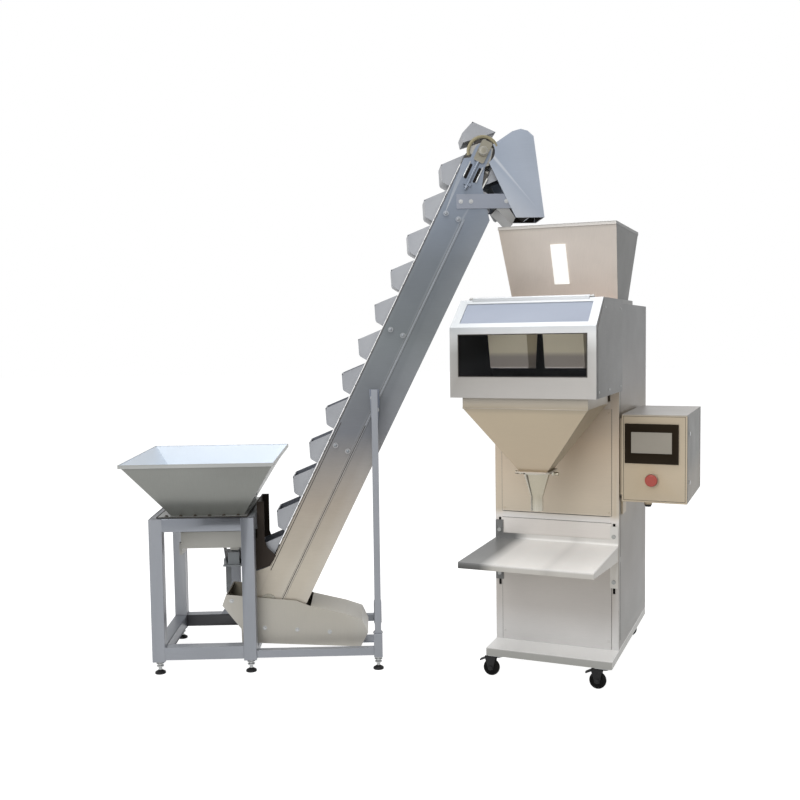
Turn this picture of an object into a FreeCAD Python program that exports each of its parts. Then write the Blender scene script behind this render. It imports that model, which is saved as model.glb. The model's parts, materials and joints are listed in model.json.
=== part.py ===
import FreeCAD, Part
import math
import os

V = FreeCAD.Vector

# Layout of the row: the lift stands along X, the filler is turned about Z beside it
filler_x = 1571.0
filler_y = -85.0
filler_yaw = 24.5
sheet = 3.0
gap = 0.3
running = 0.05

# Lift stand and its long base
stand_w = 407.0
stand_d = 500.0
stand_top = 615.0
tube = 50.0
frame_low = 50.0
rail_low = 58.0
base_tube = 30.0
leg_tube = 25.0
leg_sleeve = 34.0
leg_x = 884.0
leg_inset = 20.0
leg_top = 1105.0
leg_bolt_z = 1088.0
sleeve_top = 145.0
stub_r = 9.0
gusset_pts = ((864.0, 1102.0), (902.0, 1102.0), (905.0, 1050.0), (886.0, 842.0), (879.0, 842.0))
boot_link = (790.0, 60.0, 66.0)
foot_r = 22.0
foot_pad = 14.0
foot_stem_r = 7.0

# Feed hopper on the stand
rim_x0, rim_x1 = -93.0, 497.0
rim_y0, rim_y1 = -68.0, 582.0
rim_z = 838.0
rim_fold = 14.0
mouth_x0, mouth_x1 = 77.0, 364.0
mouth_y0, mouth_y1 = 60.0, 440.0
throat_x0, throat_x1 = 120.0, 240.0
throat_y0, throat_y1 = 150.0, 260.0
throat_z = 541.0
hopper_flange = 4.0

# Vibrating feeder under the hopper
pan_x0, pan_x1 = 97.0, 338.0
pan_y0, pan_y1 = 138.0, 272.0
pan_z0, pan_z1 = 470.0, 536.0
pan_swing = 1.0
spring_x = (262.0, 330.0)
spring_lean = 10.0
spring_t = 2.0
spring_w = 60.0
magnet_x0, magnet_x1 = 280.0, 326.0
magnet_z0, magnet_z1 = 397.0, 446.0
keeper_x0, keeper_x1 = 288.0, 322.0
keeper_z = 452.0
drive_base = 6.0
post_x0, post_x1 = 247.0, 290.0
post_foot = 199.0
post_flare = 184.0
drive_arm = 20.0
strut_w = 22.0

# Inclined bucket lift: s runs up the incline from the tail shaft, n points off its upper side
incline = 63.66
tail_x = 445.5
tail_z = 252.9
chain_pitch = 50.8
chain_phase = 14.0
teeth = 6
bucket_links = 3
run_links = 39
plate_y0 = 110.0
casing_w = 190.0
plate_foot_s = (-60.0, 20.0)
plate_top_s = 1903.0
plate_top_cut = (44.0, 150.0)
shoulder_s = 1927.0
tongue_r = 34.0
plate_up_n = 56.0
plate_low_n = -141.0
rib_n = -52.0
rib_w = 10.0
rib_low_s = 30.0
rib_short = 190.0
cover_low_s = 62.0
cover_short = 160.0
foot_cheek = (
    (362.0, 236.0), (362.0, 414.0), (400.0, 379.0), (453.0, 398.0), (460.0, 401.0), (402.0, 272.0),
)
rib_t = 2.0
shaft_r = 12.5
strand_w = 12.0
strand_inset = 1.5
link_h = 14.0
link_t = 3.0
roller_r = 8.0
end_gap = 10.0
tooth_tip_r = 57.0
sprocket_t = 4.5
hub_r = 24.0
hub_l = 26.0
rail_h = 5.0
rail_w = 8.0
rail_clear_s = 85.0
tie_s = (687.0, 1197.0, 1703.0)
tie_n = (27.0, -27.0)
tie_r = 6.0
tie_head_r = 11.0
tie_head = 6.0

# Buckets, in the frame of the link that carries them
bucket_w = 150.0
bucket_sheet = 2.0
bucket_seat = 10.0
bucket_tip = 76.0
bucket_low = -60.0
bucket_high = 75.0
bucket_fold = 8.0
belly_s, belly_n = -57.0, 44.0
belly_fold = 16.0
lug_s = 30.0
lug_w = 14.0

# Head: bearings, take-up screws, drive and hood
bearing_l = 88.0
bearing_w = 44.0
bearing_t = 10.0
boss_r = 19.0
boss_t = 14.0
tail_bearing_t = 5.0
tail_boss_t = 2.5
takeup_l = 120.0
takeup_w = 30.0
screw_r = 5.0
screw_nut_r = 7.0
gearbox = 100.0
gearbox_l = 84.0
motor_r = 55.0
motor_l = 190.0
motor_turn = -60.0
hood_gap = 3.0
hood_pts = ((1348.0, 1986.0), (1338.0, 2009.0), (1350.0, 2042.0), (1363.0, 2055.0), (1440.0, 2106.0))
hood_top = ((1440.0, 2106.0), (1473.0, 2115.0), (1500.0, 2108.0), (1524.0, 2087.0))
hood_out = ((1566.0, 1771.0), (1453.0, 1771.0))
hood_back = (1413.4, 1852.0)
hood_baffle = ((1424.0, 1838.0), (1514.0, 1776.0))
hood_notch = 47.0
strap_x0, strap_x1 = 1219.0, 1436.0
strap_z0, strap_z1 = 1808.0, 1865.0
chute_pts = ((1378.0, 1806.0), (1438.0, 1742.0))
chute_cheek = ((13.0, 30.0), (20.0, 44.0))

# Boot under the tail, and the inlet between feeder and buckets
boot_pts = (
    (338.0, 88.0), (410.0, 88.0), (790.0, 66.0), (815.0, 66.0), (844.0, 122.0), (820.0, 176.0),
    (752.0, 200.0), (615.0, 234.0), (557.0, 258.0), (278.0, 288.0), (262.0, 244.0), (336.0, 148.0),
)
boot_open = ((283.0, 283.0), (283.0, 300.0), (615.0, 300.0), (615.0, 230.0), (557.0, 253.0))
boot_side = 12.0
inlet_pts = (
    (345.0, 512.0), (408.0, 512.0), (408.0, 660.0), (436.0, 660.0), (436.0, 505.0),
    (446.0, 474.0), (480.0, 440.0), (456.0, 402.0), (400.0, 383.0), (345.0, 434.0),
)
inlet_floor = ((343.0, 446.0), (378.0, 418.0))

# Filler: base, casters and column
col_w = 480.0
col_d = 628.0
base_front = 135.0
base_z0 = 87.0
base_z1 = 117.0
col_top = 1422.0
post = 30.0
rail_mid_z = (594.0, 1028.0)
upper_panel_z = (627.0, 1030.0)
lower_panel_top = 600.0
panel_lap = 5.0
panel_t = 2.0
slot_w = 10.0
slot_len = 96.0
slot_z = (380.0, 552.0)
door_top = 1090.0
hinge_up, hinge_down = 120.0, 180.0
door_t = 18.0
door_gap = 2.0
door_turn = 100.0
hinge_r = 6.0
door_lift = 0.6
hinge_pin_r = 3.0
hinge_l = 60.0
handle_z = 720.0
caster_in = 35.0
caster_rest = 90.0
caster_plate = 60.0
caster_plate_t = 3.0
swivel_r = 20.0
swivel_h = 8.0
kingpin_r = 5.0
trail = 24.0
wheel_r = 31.5
wheel_w = 22.0
axle_r = 5.0
fork_t = 3.0
fork_gap = 2.0
pedal_turn = 20.0
pedal_pin_r = 2.5
pedal_barrel_r = 4.6

# Filler: tray, top hopper, weighing head, funnel and spout
tray_z = 520.0
tray_in = 2.0
tray_front = 453.0
tray_lip = 22.0
tray_up = 590.0
ear_h = 50.0
tray_back = -4.3
tray_travel = 40.0
bolt_r = 4.0
top_rim_w, top_rim_d = 454.0, 490.0
top_rim_z = 1725.0
top_mouth_w, top_mouth_d = 416.0, 223.0
top_mouth_z = 1440.0
top_hopper_y = 258.0
top_fold = 12.0
sight_w = 46.0
sight_h = 150.0
sight_low = 65.0
head_w = 504.0
head_front = 474.0
head_z0 = 1098.0
head_z1 = 1338.0
head_z2 = 1434.0
head_slope = 120.0
head_inset = 22.0
head_seam = -345.0
cover_pin_r = 2.5
cover_barrel_r = 4.5
cover_pin_l = 440.0
cover_side = 30.0
cover_turn = 80.0
pane_t = 4.0
feed_x = 104.0
feed_w = 160.0
feed_y0, feed_y1 = -205.0, 372.0
feed_z0, feed_z1 = 1330.0, 1380.0
feed_drive = (90.0, 210.0, 1220.0)
weigh_w = 142.0
weigh_d = 150.0
weigh_x = 100.0
weigh_y = -225.0
weigh_z1 = 1318.0
weigh_z0 = 1196.0
weigh_mouth_d = 96.0
flap_t = 3.0
flap_turn = 50.0
cell_h = 24.0
cell_w = 30.0
cell_z = 1262.0
skirt_w = 436.0
funnel_y = -275.0
skirt_d = 336.0
skirt_z = 1060.0
neck_w = 100.0
neck_z = 831.0
neck_flange = 5.0
spout_flange_r = 56.0
spout_cone_r = 47.0
spout_r = 22.0
spout_wall = 2.0
spout_cone_z = 735.0
spout_z = 686.0
box_off = 12.0
box_w = 234.0
box_y0, box_y1 = -13.0, 438.0
box_z0, box_z1 = 689.0, 1013.0
hmi_w, hmi_h, hmi_t = 192.0, 146.0, 8.0
hmi_in, hmi_z = 108.0, 906.0
screen_w, screen_h = 146.0, 78.0
screen_up = 4.0
stop_in, stop_z = 109.0, 773.0
stop_ring_r = 25.0
stop_r = 22.0
stop_travel = 5.0
stop_stem_r = 8.0
stop_ring_t = 5.0
stop_cap_t = 14.0
gland_r = 14.0
gland_off = (90.0, 40.0, 12.0)
arm_in = (30.0, 60.0, 20.0)
shoe_y = (60.0, 130.0)
shoe_reach = 45.0
shoe_t = 10.0
shoe_rib = (6.0, 60.0)

pitch_r = chain_pitch / 2 / math.sin(math.pi / teeth)
shaft_gap = run_links * chain_pitch
bucket_step = bucket_links * chain_pitch
run_buckets = run_links // bucket_links
link_turn = 360.0 / teeth
phase_turn = link_turn * chain_phase / chain_pitch
plate_y1 = plate_y0 + casing_w
inner_y0 = plate_y0 + sheet
inner_y1 = plate_y1 - sheet
casing_y = (plate_y0 + plate_y1) / 2
caster_x = col_w / 2 - caster_in
caster_y = (caster_in - base_front, col_d - caster_in - caster_plate / 4)
tray_w = col_w - 2 * tray_in
tray_ridge = tray_up - ear_h
box_x0 = col_w / 2 + box_off
box_x1 = box_x0 + box_w
hmi_x = box_x0 + hmi_in
stop_x = box_x0 + stop_in


def box(x0, x1, y0, y1, z0, z1):
    return Part.makeBox(x1 - x0, y1 - y0, z1 - z0, V(x0, y0, z0))


def cyl(r, p, d, h):
    return Part.makeCylinder(r, h, V(*p), V(*d))


def ring(r_out, r_in, p, d, h):
    return cyl(r_out, p, d, h).cut(cyl(r_in, p, d, h))


def slab_xz(points, y0, y1):
    ends = [V(x, y0, z) for x, z in points]
    return Part.Face(Part.makePolygon(ends + ends[:1])).extrude(V(0, y1 - y0, 0))


def slab_yz(points, x0, x1):
    ends = [V(x0, y, z) for y, z in points]
    return Part.Face(Part.makePolygon(ends + ends[:1])).extrude(V(x1 - x0, 0, 0))


def strip_xz(a, b, t, y0, y1):
    """A flat sheet from a to b in side view, t thick to the left of that line."""
    dx, dz = b[0] - a[0], b[1] - a[1]
    length = math.hypot(dx, dz)
    off = (-dz / length * t, dx / length * t)
    return slab_xz((a, b, (b[0] + off[0], b[1] + off[1]), (a[0] + off[0], a[1] + off[1])), y0, y1)


def joined(shapes):
    whole = shapes[0]
    if len(shapes) > 1:
        whole = whole.fuse(shapes[1:])
    return whole.removeSplitter()


def rectangle(x0, x1, y0, y1, z):
    ends = [V(x0, y0, z), V(x1, y0, z), V(x1, y1, z), V(x0, y1, z)]
    return Part.makePolygon(ends + ends[:1])


def taper(low, high, z0, z1):
    return Part.makeLoft([rectangle(*low, z0), rectangle(*high, z1)], True, True)


def funnel_shell(low, high, z0, z1, wall):
    """Four sloping walls between two rectangles (x0, x1, y0, y1), open above and below."""
    def shrunk(r):
        return (r[0] + wall, r[1] - wall, r[2] + wall, r[3] - wall)
    return taper(low, high, z0, z1).cut(taper(shrunk(low), shrunk(high), z0, z1))


def on_run(s, n):
    """A point of the lift's side view, s up the incline and n off its upper side."""
    a = math.radians(incline)
    return (tail_x + s * math.cos(a) - n * math.sin(a), tail_z + s * math.sin(a) + n * math.cos(a))


def to_run(shape, s=0.0, n=0.0, turn=0.0):
    """Takes a shape drawn along +X with +Z off the chain and sets it on the incline."""
    placed = shape.copy()
    placed.rotate(V(0, 0, 0), V(0, 1, 0), turn - incline)
    x, z = on_run(s, n)
    placed.translate(V(x, 0, z))
    return placed


def run_slab(points, y0, y1):
    return slab_xz([on_run(s, n) for s, n in points], y0, y1)


def on_wrap(shape, s, turn):
    """Takes a shape drawn on the upper pitch line round the shaft at s, turned with the chain."""
    lifted = shape.copy()
    lifted.translate(V(0, 0, pitch_r))
    return to_run(lifted, s, 0.0, turn)


def strand_sides():
    near = inner_y0 + strand_inset
    far = inner_y1 - strand_inset - strand_w
    return ((near, near + strand_w), (far, far + strand_w))


def stand_frame():
    w, d, top = stand_w, stand_d, stand_top
    pieces = []
    for x in (0.0, w - tube):
        for y in (0.0, d - tube):
            pieces.append(box(x, x + tube, y, y + tube, frame_low, top))
    for y in (0.0, d - tube):
        for z in (rail_low, top - tube):
            pieces.append(box(tube, w - tube, y, y + tube, z, z + tube))
    for x in (0.0, w - tube):
        pieces.append(box(x, x + tube, tube, d - tube, top - tube, top))
    pieces.append(box(0.0, tube, tube, d - tube, rail_low, rail_low + tube))
    pieces.append(box(w - tube, w, tube, d - tube, rail_low, rail_low + base_tube))
    for y in leg_rows():
        half = base_tube / 2
        sleeve = leg_sleeve / 2
        leg = leg_tube / 2
        pieces.append(box(w, leg_x - sleeve, y - half, y + half, rail_low, rail_low + base_tube))
        pieces.append(box(leg_x - sleeve, leg_x + sleeve, y - sleeve, y + sleeve, frame_low, sleeve_top))
        pieces.append(box(leg_x - leg, leg_x + leg, y - leg, y + leg, sleeve_top, leg_top))
    half = leg_sleeve / 2
    y0, y1 = leg_rows()
    pieces.append(box(leg_x - leg_tube / 2, leg_x + leg_tube / 2, y0 + half, y1 - half,
                      frame_low, frame_low + leg_tube))
    pieces.append(drive_post())
    return pieces


def drive_post():
    """The flared sheet on the rear rail that carries the feeder drive."""
    rear, foot_z = stand_d - tube, rail_low + tube
    top = magnet_z0 - drive_base - drive_arm
    return slab_xz(((post_foot, foot_z), (post_x1, foot_z), (post_x1, top), (post_x0, top),
                    (post_x0, post_flare)), rear, rear + 6)


def leg_rows():
    return (leg_inset, stand_d - leg_inset)


def levelling_feet():
    spots = [(x, y) for x in (tube / 2, stand_w - tube / 2) for y in (tube / 2, stand_d - tube / 2)]
    spots += [(leg_x, y) for y in leg_rows()]
    feet = []
    for x, y in spots:
        pad = Part.makeCone(foot_r, foot_r * 0.7, foot_pad, V(x, y, 0))
        stem = cyl(foot_stem_r, (x, y, foot_pad), (0, 0, 1), frame_low - foot_pad)
        nut = cyl(foot_stem_r * 1.7, (x, y, frame_low - 10), (0, 0, 1), 10)
        feet.append(joined([pad, stem, nut]))
    return feet


def leg_brackets():
    """Stub tubes with gussets from the legs to the casing, and the link under the boot's nose."""
    pieces = []
    near, far = leg_rows()
    leg = leg_tube / 2
    for y0, y1, face, out in ((near + leg, plate_y0, plate_y0 - rib_t, -1),
                              (plate_y1, far - leg, plate_y1 + rib_t, 1)):
        stub = cyl(stub_r, (leg_x, y0, leg_bolt_z), (0, 1, 0), y1 - y0)
        gusset = slab_xz(gusset_pts, min(face, face + out * sheet), max(face, face + out * sheet))
        pieces.append(joined([stub, gusset]))
    x0, z0, z1 = boot_link
    pieces.append(box(x0, leg_x - leg_tube / 2, casing_y - 45, casing_y + 45, z0, z1))
    for y in (plate_y0 - hood_gap, plate_y1):
        pieces.append(box(strap_x0, strap_x1, y, y + hood_gap, strap_z0, strap_z1))
    return pieces


def feed_hopper():
    rim = (rim_x0, rim_x1, rim_y0, rim_y1)
    mouth = (mouth_x0, mouth_x1, mouth_y0, mouth_y1)
    throat = (throat_x0, throat_x1, throat_y0, throat_y1)
    edge = 46.0
    body = funnel_shell(mouth, rim, stand_top + hopper_flange, rim_z, sheet)
    flange = box(mouth_x0 - edge, stand_w - 30, mouth_y0 - 30, mouth_y1 + 30,
                 stand_top, stand_top + hopper_flange)
    flange = flange.cut(box(mouth_x0 + sheet, mouth_x1 - sheet, mouth_y0 + sheet, mouth_y1 - sheet,
                            stand_top, stand_top + hopper_flange))
    inside = (tube + gap, stand_w - tube - gap, mouth_y0, mouth_y1)
    neck = funnel_shell(throat, inside, throat_z, stand_top, sheet)
    lip = box(rim_x0, rim_x1, rim_y0, rim_y1, rim_z - rim_fold, rim_z)
    lip = lip.cut(box(rim_x0 + 2, rim_x1 - 2, rim_y0 + 2, rim_y1 - 2, rim_z - rim_fold, rim_z))
    return [joined([body, flange, neck, lip])]


def feeder_tray():
    y0, y1 = pan_y0, pan_y1
    mid = (y0 + y1) / 2
    pan = box(pan_x0, pan_x1, y0, y1, pan_z0, pan_z1)
    pan = pan.cut(box(pan_x0 + sheet, pan_x1, y0 + sheet, y1 - sheet, pan_z0 + sheet, pan_z1))
    bracket = box(pan_x0 - 12, pan_x0, y0 + 20, y1 - 20, pan_z0 - 30, pan_z0 + 18)
    keeper = box(keeper_x0, keeper_x1, mid - 30, mid + 30, keeper_z, pan_z0)
    return [joined([pan, bracket, keeper])]


def feeder_drive():
    """The electromagnet and leaf springs on a base plate, on an arm from the stand's rear post."""
    mid = (pan_y0 + pan_y1) / 2
    rear = stand_d - tube
    low, high = magnet_z0 - drive_base - drive_arm, magnet_z0 - drive_base + 4
    base = box(spring_x[0], spring_x[1] + spring_lean + 4, mid - 60, mid + 60,
               magnet_z0 - drive_base, magnet_z0)
    arm = box(post_x0, post_x1, mid + 60, rear + 6, low, high)
    magnet = box(magnet_x0, magnet_x1, mid - 45, mid + 45, magnet_z0, magnet_z1)
    strut = box(post_x0 - strut_w, post_x0, rear, rear + 10, post_flare + 20, high)
    springs = []
    for x in spring_x:
        spring = strip_xz((x + spring_lean, magnet_z0), (x, pan_z0 - gap), spring_t,
                          mid - spring_w / 2, mid + spring_w / 2)
        springs.append(spring.cut(base))
    return [magnet, joined([base, arm]), strut] + springs


def inlet_guard():
    """Two cheeks and a sloping floor that lead the granules into the buckets."""
    cheeks = [slab_xz(inlet_pts, y, y + sheet) for y in (plate_y0 - sheet, plate_y1)]
    floor = strip_xz(inlet_floor[0], inlet_floor[1], sheet, plate_y0, plate_y1)
    x0, z0 = inlet_pts[1]
    back = box(x0, x0 + sheet, plate_y0, plate_y1, z0 + 18, inlet_pts[2][1])
    return [joined(cheeks + [floor, back])]


def side_plates():
    """The casing's two sides, their feet inside the boot, with a fold rib and a cheek at the inlet."""
    plates = []
    up, low, top, neck = plate_up_n, plate_low_n, plate_top_s, tongue_r
    outline = [(plate_foot_s[0], up), (shoulder_s, up), (shoulder_s + 14, neck), (shaft_gap, neck),
               (shaft_gap, -neck), (shoulder_s, -neck), (top - plate_top_cut[0], -up), (top - plate_top_cut[1], low),
               (plate_foot_s[1], low)]
    rib_s, rib_high = (rib_low_s, top - rib_short), rib_n + rib_w
    ridge = [(rib_s[0], rib_n), (rib_s[1], rib_n), (rib_s[1], rib_high), (rib_s[0], rib_high)]
    head, tail = on_run(shaft_gap, 0.0), on_run(0.0, 0.0)
    for y, rib_y, cheek_y in ((plate_y0, plate_y0 - rib_t, plate_y0 - sheet), (inner_y1, plate_y1, plate_y1)):
        end = cyl(neck, (head[0], y, head[1]), (0, 1, 0), sheet)
        cheek = slab_xz(foot_cheek, cheek_y, cheek_y + sheet)
        plate = joined([run_slab(outline, y, y + sheet), run_slab(ridge, rib_y, rib_y + rib_t), end, cheek])
        holes = [cyl(shaft_r + 4, (x, y, z), (0, 1, 0), sheet) for x, z in (head, tail)]
        for s in tie_s:
            for n in tie_n:
                x, z = on_run(s, n)
                holes.append(cyl(tie_r, (x, y, z), (0, 1, 0), sheet))
        plates.append(plate.cut(holes))
    return plates


def return_cover():
    n0 = plate_low_n
    s0, s1 = cover_low_s, plate_top_s - cover_short
    return [run_slab(((s0, n0), (s1, n0), (s1, n0 + sheet), (s0, n0 + sheet)), inner_y0, inner_y1)]


def tie_rods():
    rods = []
    for s in tie_s:
        for n in tie_n:
            x, z = on_run(s, n)
            rod = cyl(tie_r, (x, plate_y0, z), (0, 1, 0), casing_w)
            heads = [cyl(tie_head_r, (x, plate_y0 - tie_head, z), (0, 1, 0), tie_head),
                     cyl(tie_head_r, (x, plate_y1, z), (0, 1, 0), tie_head)]
            rods.append(joined([rod] + heads))
    return rods


def guide_rails():
    """Wear strips on the side plates that carry both runs of the chain."""
    rails = []
    s0, s1 = rail_clear_s, shaft_gap - rail_clear_s
    under = link_h / 2 + gap
    for y0, y1 in ((inner_y0, inner_y0 + rail_w), (inner_y1 - rail_w, inner_y1)):
        for n1 in (pitch_r - under, -pitch_r - under):
            rails.append(run_slab(((s0, n1 - rail_h), (s1, n1 - rail_h), (s1, n1), (s0, n1)), y0, y1))
    return rails


def shaft_bearings():
    """Take-up blocks at the head and thin flanged bearings at the tail."""
    units = []
    for y0, d in ((plate_y0, -1), (plate_y1, 1)):
        x, z = on_run(shaft_gap, 0.0)
        y1 = y0 + d * bearing_t
        block = box(-bearing_l / 2, bearing_l / 2, min(y0, y1), max(y0, y1), -bearing_w / 2, bearing_w / 2)
        corners = [e for e in block.Edges if abs(e.BoundBox.YLength - bearing_t) < 1e-6]
        block = to_run(block.makeFillet(8.0, corners), shaft_gap)
        boss = cyl(boss_r, (x, y1, z), (0, d, 0), boss_t)
        units.append(block.fuse(boss).cut(cyl(shaft_r + running, (x, y0, z), (0, d, 0), bearing_t + boss_t)))
        x, z = on_run(0.0, 0.0)
        flange = cyl(tongue_r - 2, (x, y0, z), (0, d, 0), tail_bearing_t)
        boss = cyl(boss_r, (x, y0 + d * tail_bearing_t, z), (0, d, 0), tail_boss_t)
        bore = cyl(shaft_r + running, (x, y0, z), (0, d, 0), tail_bearing_t + tail_boss_t)
        units.append(flange.fuse(boss).cut(bore))
    return [unit.removeSplitter() for unit in units]


def takeup_screws():
    """Adjusting screws that draw the head bearings along the incline, with their lugs."""
    screws = []
    start = shaft_gap - bearing_l / 2
    for y0, y1 in ((plate_y0 - bearing_t, plate_y0), (plate_y1, plate_y1 + bearing_t)):
        mid = plate_y0 - screw_nut_r if y0 < casing_y else plate_y1 + screw_nut_r
        rod = Part.makeCylinder(screw_r, takeup_l, V(0, 0, 0), V(1, 0, 0))
        rod.translate(V(-takeup_l, mid, 0))
        lug = box(-takeup_l + 18, -takeup_l + 30, y0, y1, -takeup_w / 2, takeup_w / 2)
        nut = Part.makeCylinder(screw_nut_r, 8, V(-takeup_l + 8, mid, 0), V(1, 0, 0))
        screws.append(to_run(joined([rod, lug, nut]), start, 0.0))
    return screws


def shaft(s, y0, y1):
    x, z = on_run(s, 0.0)
    return cyl(shaft_r, (x, y0, z), (0, 1, 0), y1 - y0)


def sprocket(y0):
    """A toothed disc about the origin's Y axis, a roller seat at the top of the pitch circle."""
    disc = cyl(tooth_tip_r, (0, y0, 0), (0, 1, 0), sprocket_t)
    step = 2 * math.pi / teeth
    half_tip = 4.0
    root = pitch_r - roller_r * 1.05
    for i in range(teeth):
        a = i * step
        seat = cyl(roller_r * 1.05, (pitch_r * math.sin(a), y0, pitch_r * math.cos(a)), (0, 1, 0), sprocket_t)
        wide = math.tan(step / 2) * tooth_tip_r * 1.2 - half_tip
        wedge = slab_xz(((-7.5, root + 4), (7.5, root + 4), (wide, tooth_tip_r * 1.2),
                         (-wide, tooth_tip_r * 1.2)), y0, y0 + sprocket_t)
        wedge.rotate(V(0, 0, 0), V(0, 1, 0), math.degrees(a))
        disc = disc.cut([seat, wedge])
    return disc


def sprocket_pair(s):
    wheels = []
    (near0, near1), (far0, far1) = strand_sides()
    for y0, y1, inward in ((near0, near1, 1), (far0, far1, -1)):
        mid = (y0 + y1) / 2
        wheel = sprocket(mid - sprocket_t / 2)
        hub = cyl(hub_r, (0, mid, 0), (0, inward, 0), hub_l)
        wheel = joined([wheel, hub]).cut(cyl(shaft_r, (0, mid - 60, 0), (0, 1, 0), 120))
        wheels.append(to_run(wheel, s, 0.0, phase_turn))
    return wheels


def link_bar(y0, length):
    """One link's two side plates, drawn from the origin along +X."""
    half = link_h / 2
    bars = []
    for y in (y0, y0 + strand_w - link_t):
        bar = box(0, length, y, y + link_t, -half, half)
        bars.append(bar)
    return bars


def roller(x, y0):
    """A roller between a link's plates, six-sided so that long chains stay light."""
    turns = [math.radians(60 * i) for i in range(6)]
    ends = [V(roller_r * math.cos(t), 0, roller_r * math.sin(t)) for t in turns]
    pin = Part.Face(Part.makePolygon(ends + ends[:1])).extrude(V(0, strand_w - 2 * link_t, 0))
    pin.translate(V(x, y0 + link_t, 0))
    return pin


def bucket_spots():
    """Where the run's buckets ride, as distances from the shaft behind them."""
    return [chain_pitch / 2 + i * bucket_step for i in range(run_buckets)]


def lug(y0, inward):
    """The tab of an attachment link that a bucket's back is bolted on."""
    y = y0 + strand_w - link_t if inward > 0 else y0 + link_t
    y1 = y + inward * (lug_w + link_t)
    return box(-lug_s / 2, lug_s / 2, min(y, y1), max(y, y1), link_h / 2 - 3, bucket_seat)


def run_strands(spots):
    strands = []
    length = shaft_gap - 2 * end_gap
    for (y0, y1), inward in zip(strand_sides(), (1, -1)):
        bars = link_bar(y0, length)
        for bar in bars:
            bar.translate(V(end_gap, 0, 0))
        pins = [roller(i * chain_pitch, y0) for i in range(1, run_links)]
        tabs = []
        for s in spots:
            tab = lug(y0, inward)
            tab.translate(V(s, 0, 0))
            tabs.append(tab)
        strands.append(joined(bars + pins + tabs))
    return strands


def wrap_strands(bucket_turn):
    """Three links bent round a sprocket, drawn about the origin with +Z towards the upper run."""
    strands = []
    half = link_h / 2
    for (y0, y1), inward in zip(strand_sides(), (1, -1)):
        pieces = []
        for i in range(teeth // 2 + 1):
            turn = i * 360.0 / teeth
            pin = roller(0, y0)
            pin.translate(V(0, 0, pitch_r))
            pin.rotate(V(0, 0, 0), V(0, 1, 0), turn)
            pieces.append(pin)
            for y in (y0, y0 + strand_w - link_t):
                knuckle = cyl(half, (0, y, pitch_r), (0, 1, 0), link_t)
                knuckle.rotate(V(0, 0, 0), V(0, 1, 0), turn)
                pieces.append(knuckle)
                if i < teeth // 2:
                    bar = box(0, chain_pitch, y, y + link_t, -half, half)
                    bar.rotate(V(0, 0, 0), V(0, 1, 0), 180.0 / teeth)
                    bar.translate(V(0, 0, pitch_r))
                    bar.rotate(V(0, 0, 0), V(0, 1, 0), turn)
                    pieces.append(bar)
        tab = lug(y0, inward)
        tab.translate(V(0, 0, pitch_r))
        tab.rotate(V(0, 0, 0), V(0, 1, 0), bucket_turn)
        pieces.append(tab)
        strands.append(joined(pieces))
    return strands


def bucket_side(far=0.0):
    """A bucket's side view: back, bottom, belly and lip, carried on past the mouth by far."""
    reach = math.hypot(-belly_s, bucket_tip - belly_n)
    lip = (-belly_s / reach * far, bucket_tip + (bucket_tip - belly_n) / reach * far)
    return ((bucket_low, bucket_seat), (bucket_high + far, bucket_seat), lip, (belly_s, belly_n))


def belly_edges(shape, fold_n):
    """The edges along Y where the front of a bucket bends round its belly."""
    return [e for e in shape.Edges if e.BoundBox.ZLength < 1e-6 and abs(e.BoundBox.ZMin - fold_n) < 3.0
            and e.BoundBox.XMax < belly_s + 5.0]


def bucket():
    """A folded bucket, its back on the link's lugs, its mouth facing along +X."""
    y0 = casing_y - bucket_w / 2
    y1 = casing_y + bucket_w / 2
    t = bucket_sheet
    outer = slab_xz(bucket_side(), y0, y1)
    ends = [V(x, y0 + t, z) for x, z in bucket_side(2 * bucket_high)]
    inner = Part.Face(Part.makePolygon(ends + ends[:1]).makeOffset2D(-t, 2)).extrude(V(0, y1 - y0 - 2 * t, 0))
    outer = outer.makeFillet(belly_fold, belly_edges(outer, belly_n))
    inner = inner.makeFillet(belly_fold - t, belly_edges(inner, belly_n))
    return outer.cut(inner)


def run_bucket_set(spots, s0, side):
    """The buckets of one run; side is +1 on the way up and -1 on the way down."""
    one = bucket()
    placed = []
    for spot in spots:
        if side > 0:
            placed.append(to_run(one, s0 + spot, pitch_r))
        else:
            placed.append(to_run(one, s0 - spot, -pitch_r, 180.0))
    return placed


def gear_motor():
    x, z = on_run(shaft_gap, 0.0)
    y0 = plate_y1 + bearing_t + boss_t
    case = box(-gearbox / 2, gearbox / 2, y0, y0 + gearbox_l, -gearbox / 2, gearbox / 2)
    case = case.cut(cyl(shaft_r + running, (0, y0, 0), (0, 1, 0), gearbox_l))
    mid = y0 + gearbox_l / 2
    motor = cyl(motor_r, (gearbox / 2 + 12, mid, 0), (1, 0, 0), motor_l)
    neck = cyl(motor_r * 0.7, (gearbox / 2, mid, 0), (1, 0, 0), 12)
    unit = joined([case, neck, motor])
    unit.rotate(V(0, 0, 0), V(0, 1, 0), -motor_turn)
    unit.translate(V(x, 0, z))
    return [unit]


def hood():
    y0 = plate_y0 - hood_gap - sheet
    y1 = plate_y1 + hood_gap
    outline = list(hood_pts) + list(hood_top[1:]) + list(hood_out)
    x, z = on_run(shaft_gap, 0.0)
    walls = [slab_xz(outline, y, y + sheet).cut(cyl(hood_notch, (x, y, z), (0, 1, 0), sheet))
             for y in (y0, y1)]
    skin_path = list(hood_top) + [hood_out[0]]
    bands = []
    for a, b in zip(skin_path, skin_path[1:]):
        bands.append(strip_xz(b, a, sheet, y0 + sheet, y1))
    room = [box(strap_x0, strap_x1 + gap, y, y + hood_gap, strap_z0 - gap, strap_z1 + gap)
            for y in (plate_y0 - hood_gap, plate_y1)]
    for a, b in ((hood_back, hood_out[1]), hood_baffle):
        bands.append(strip_xz(a, b, sheet, y0 + sheet, y1).cut(room))
    return [joined(walls + bands)]


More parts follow.
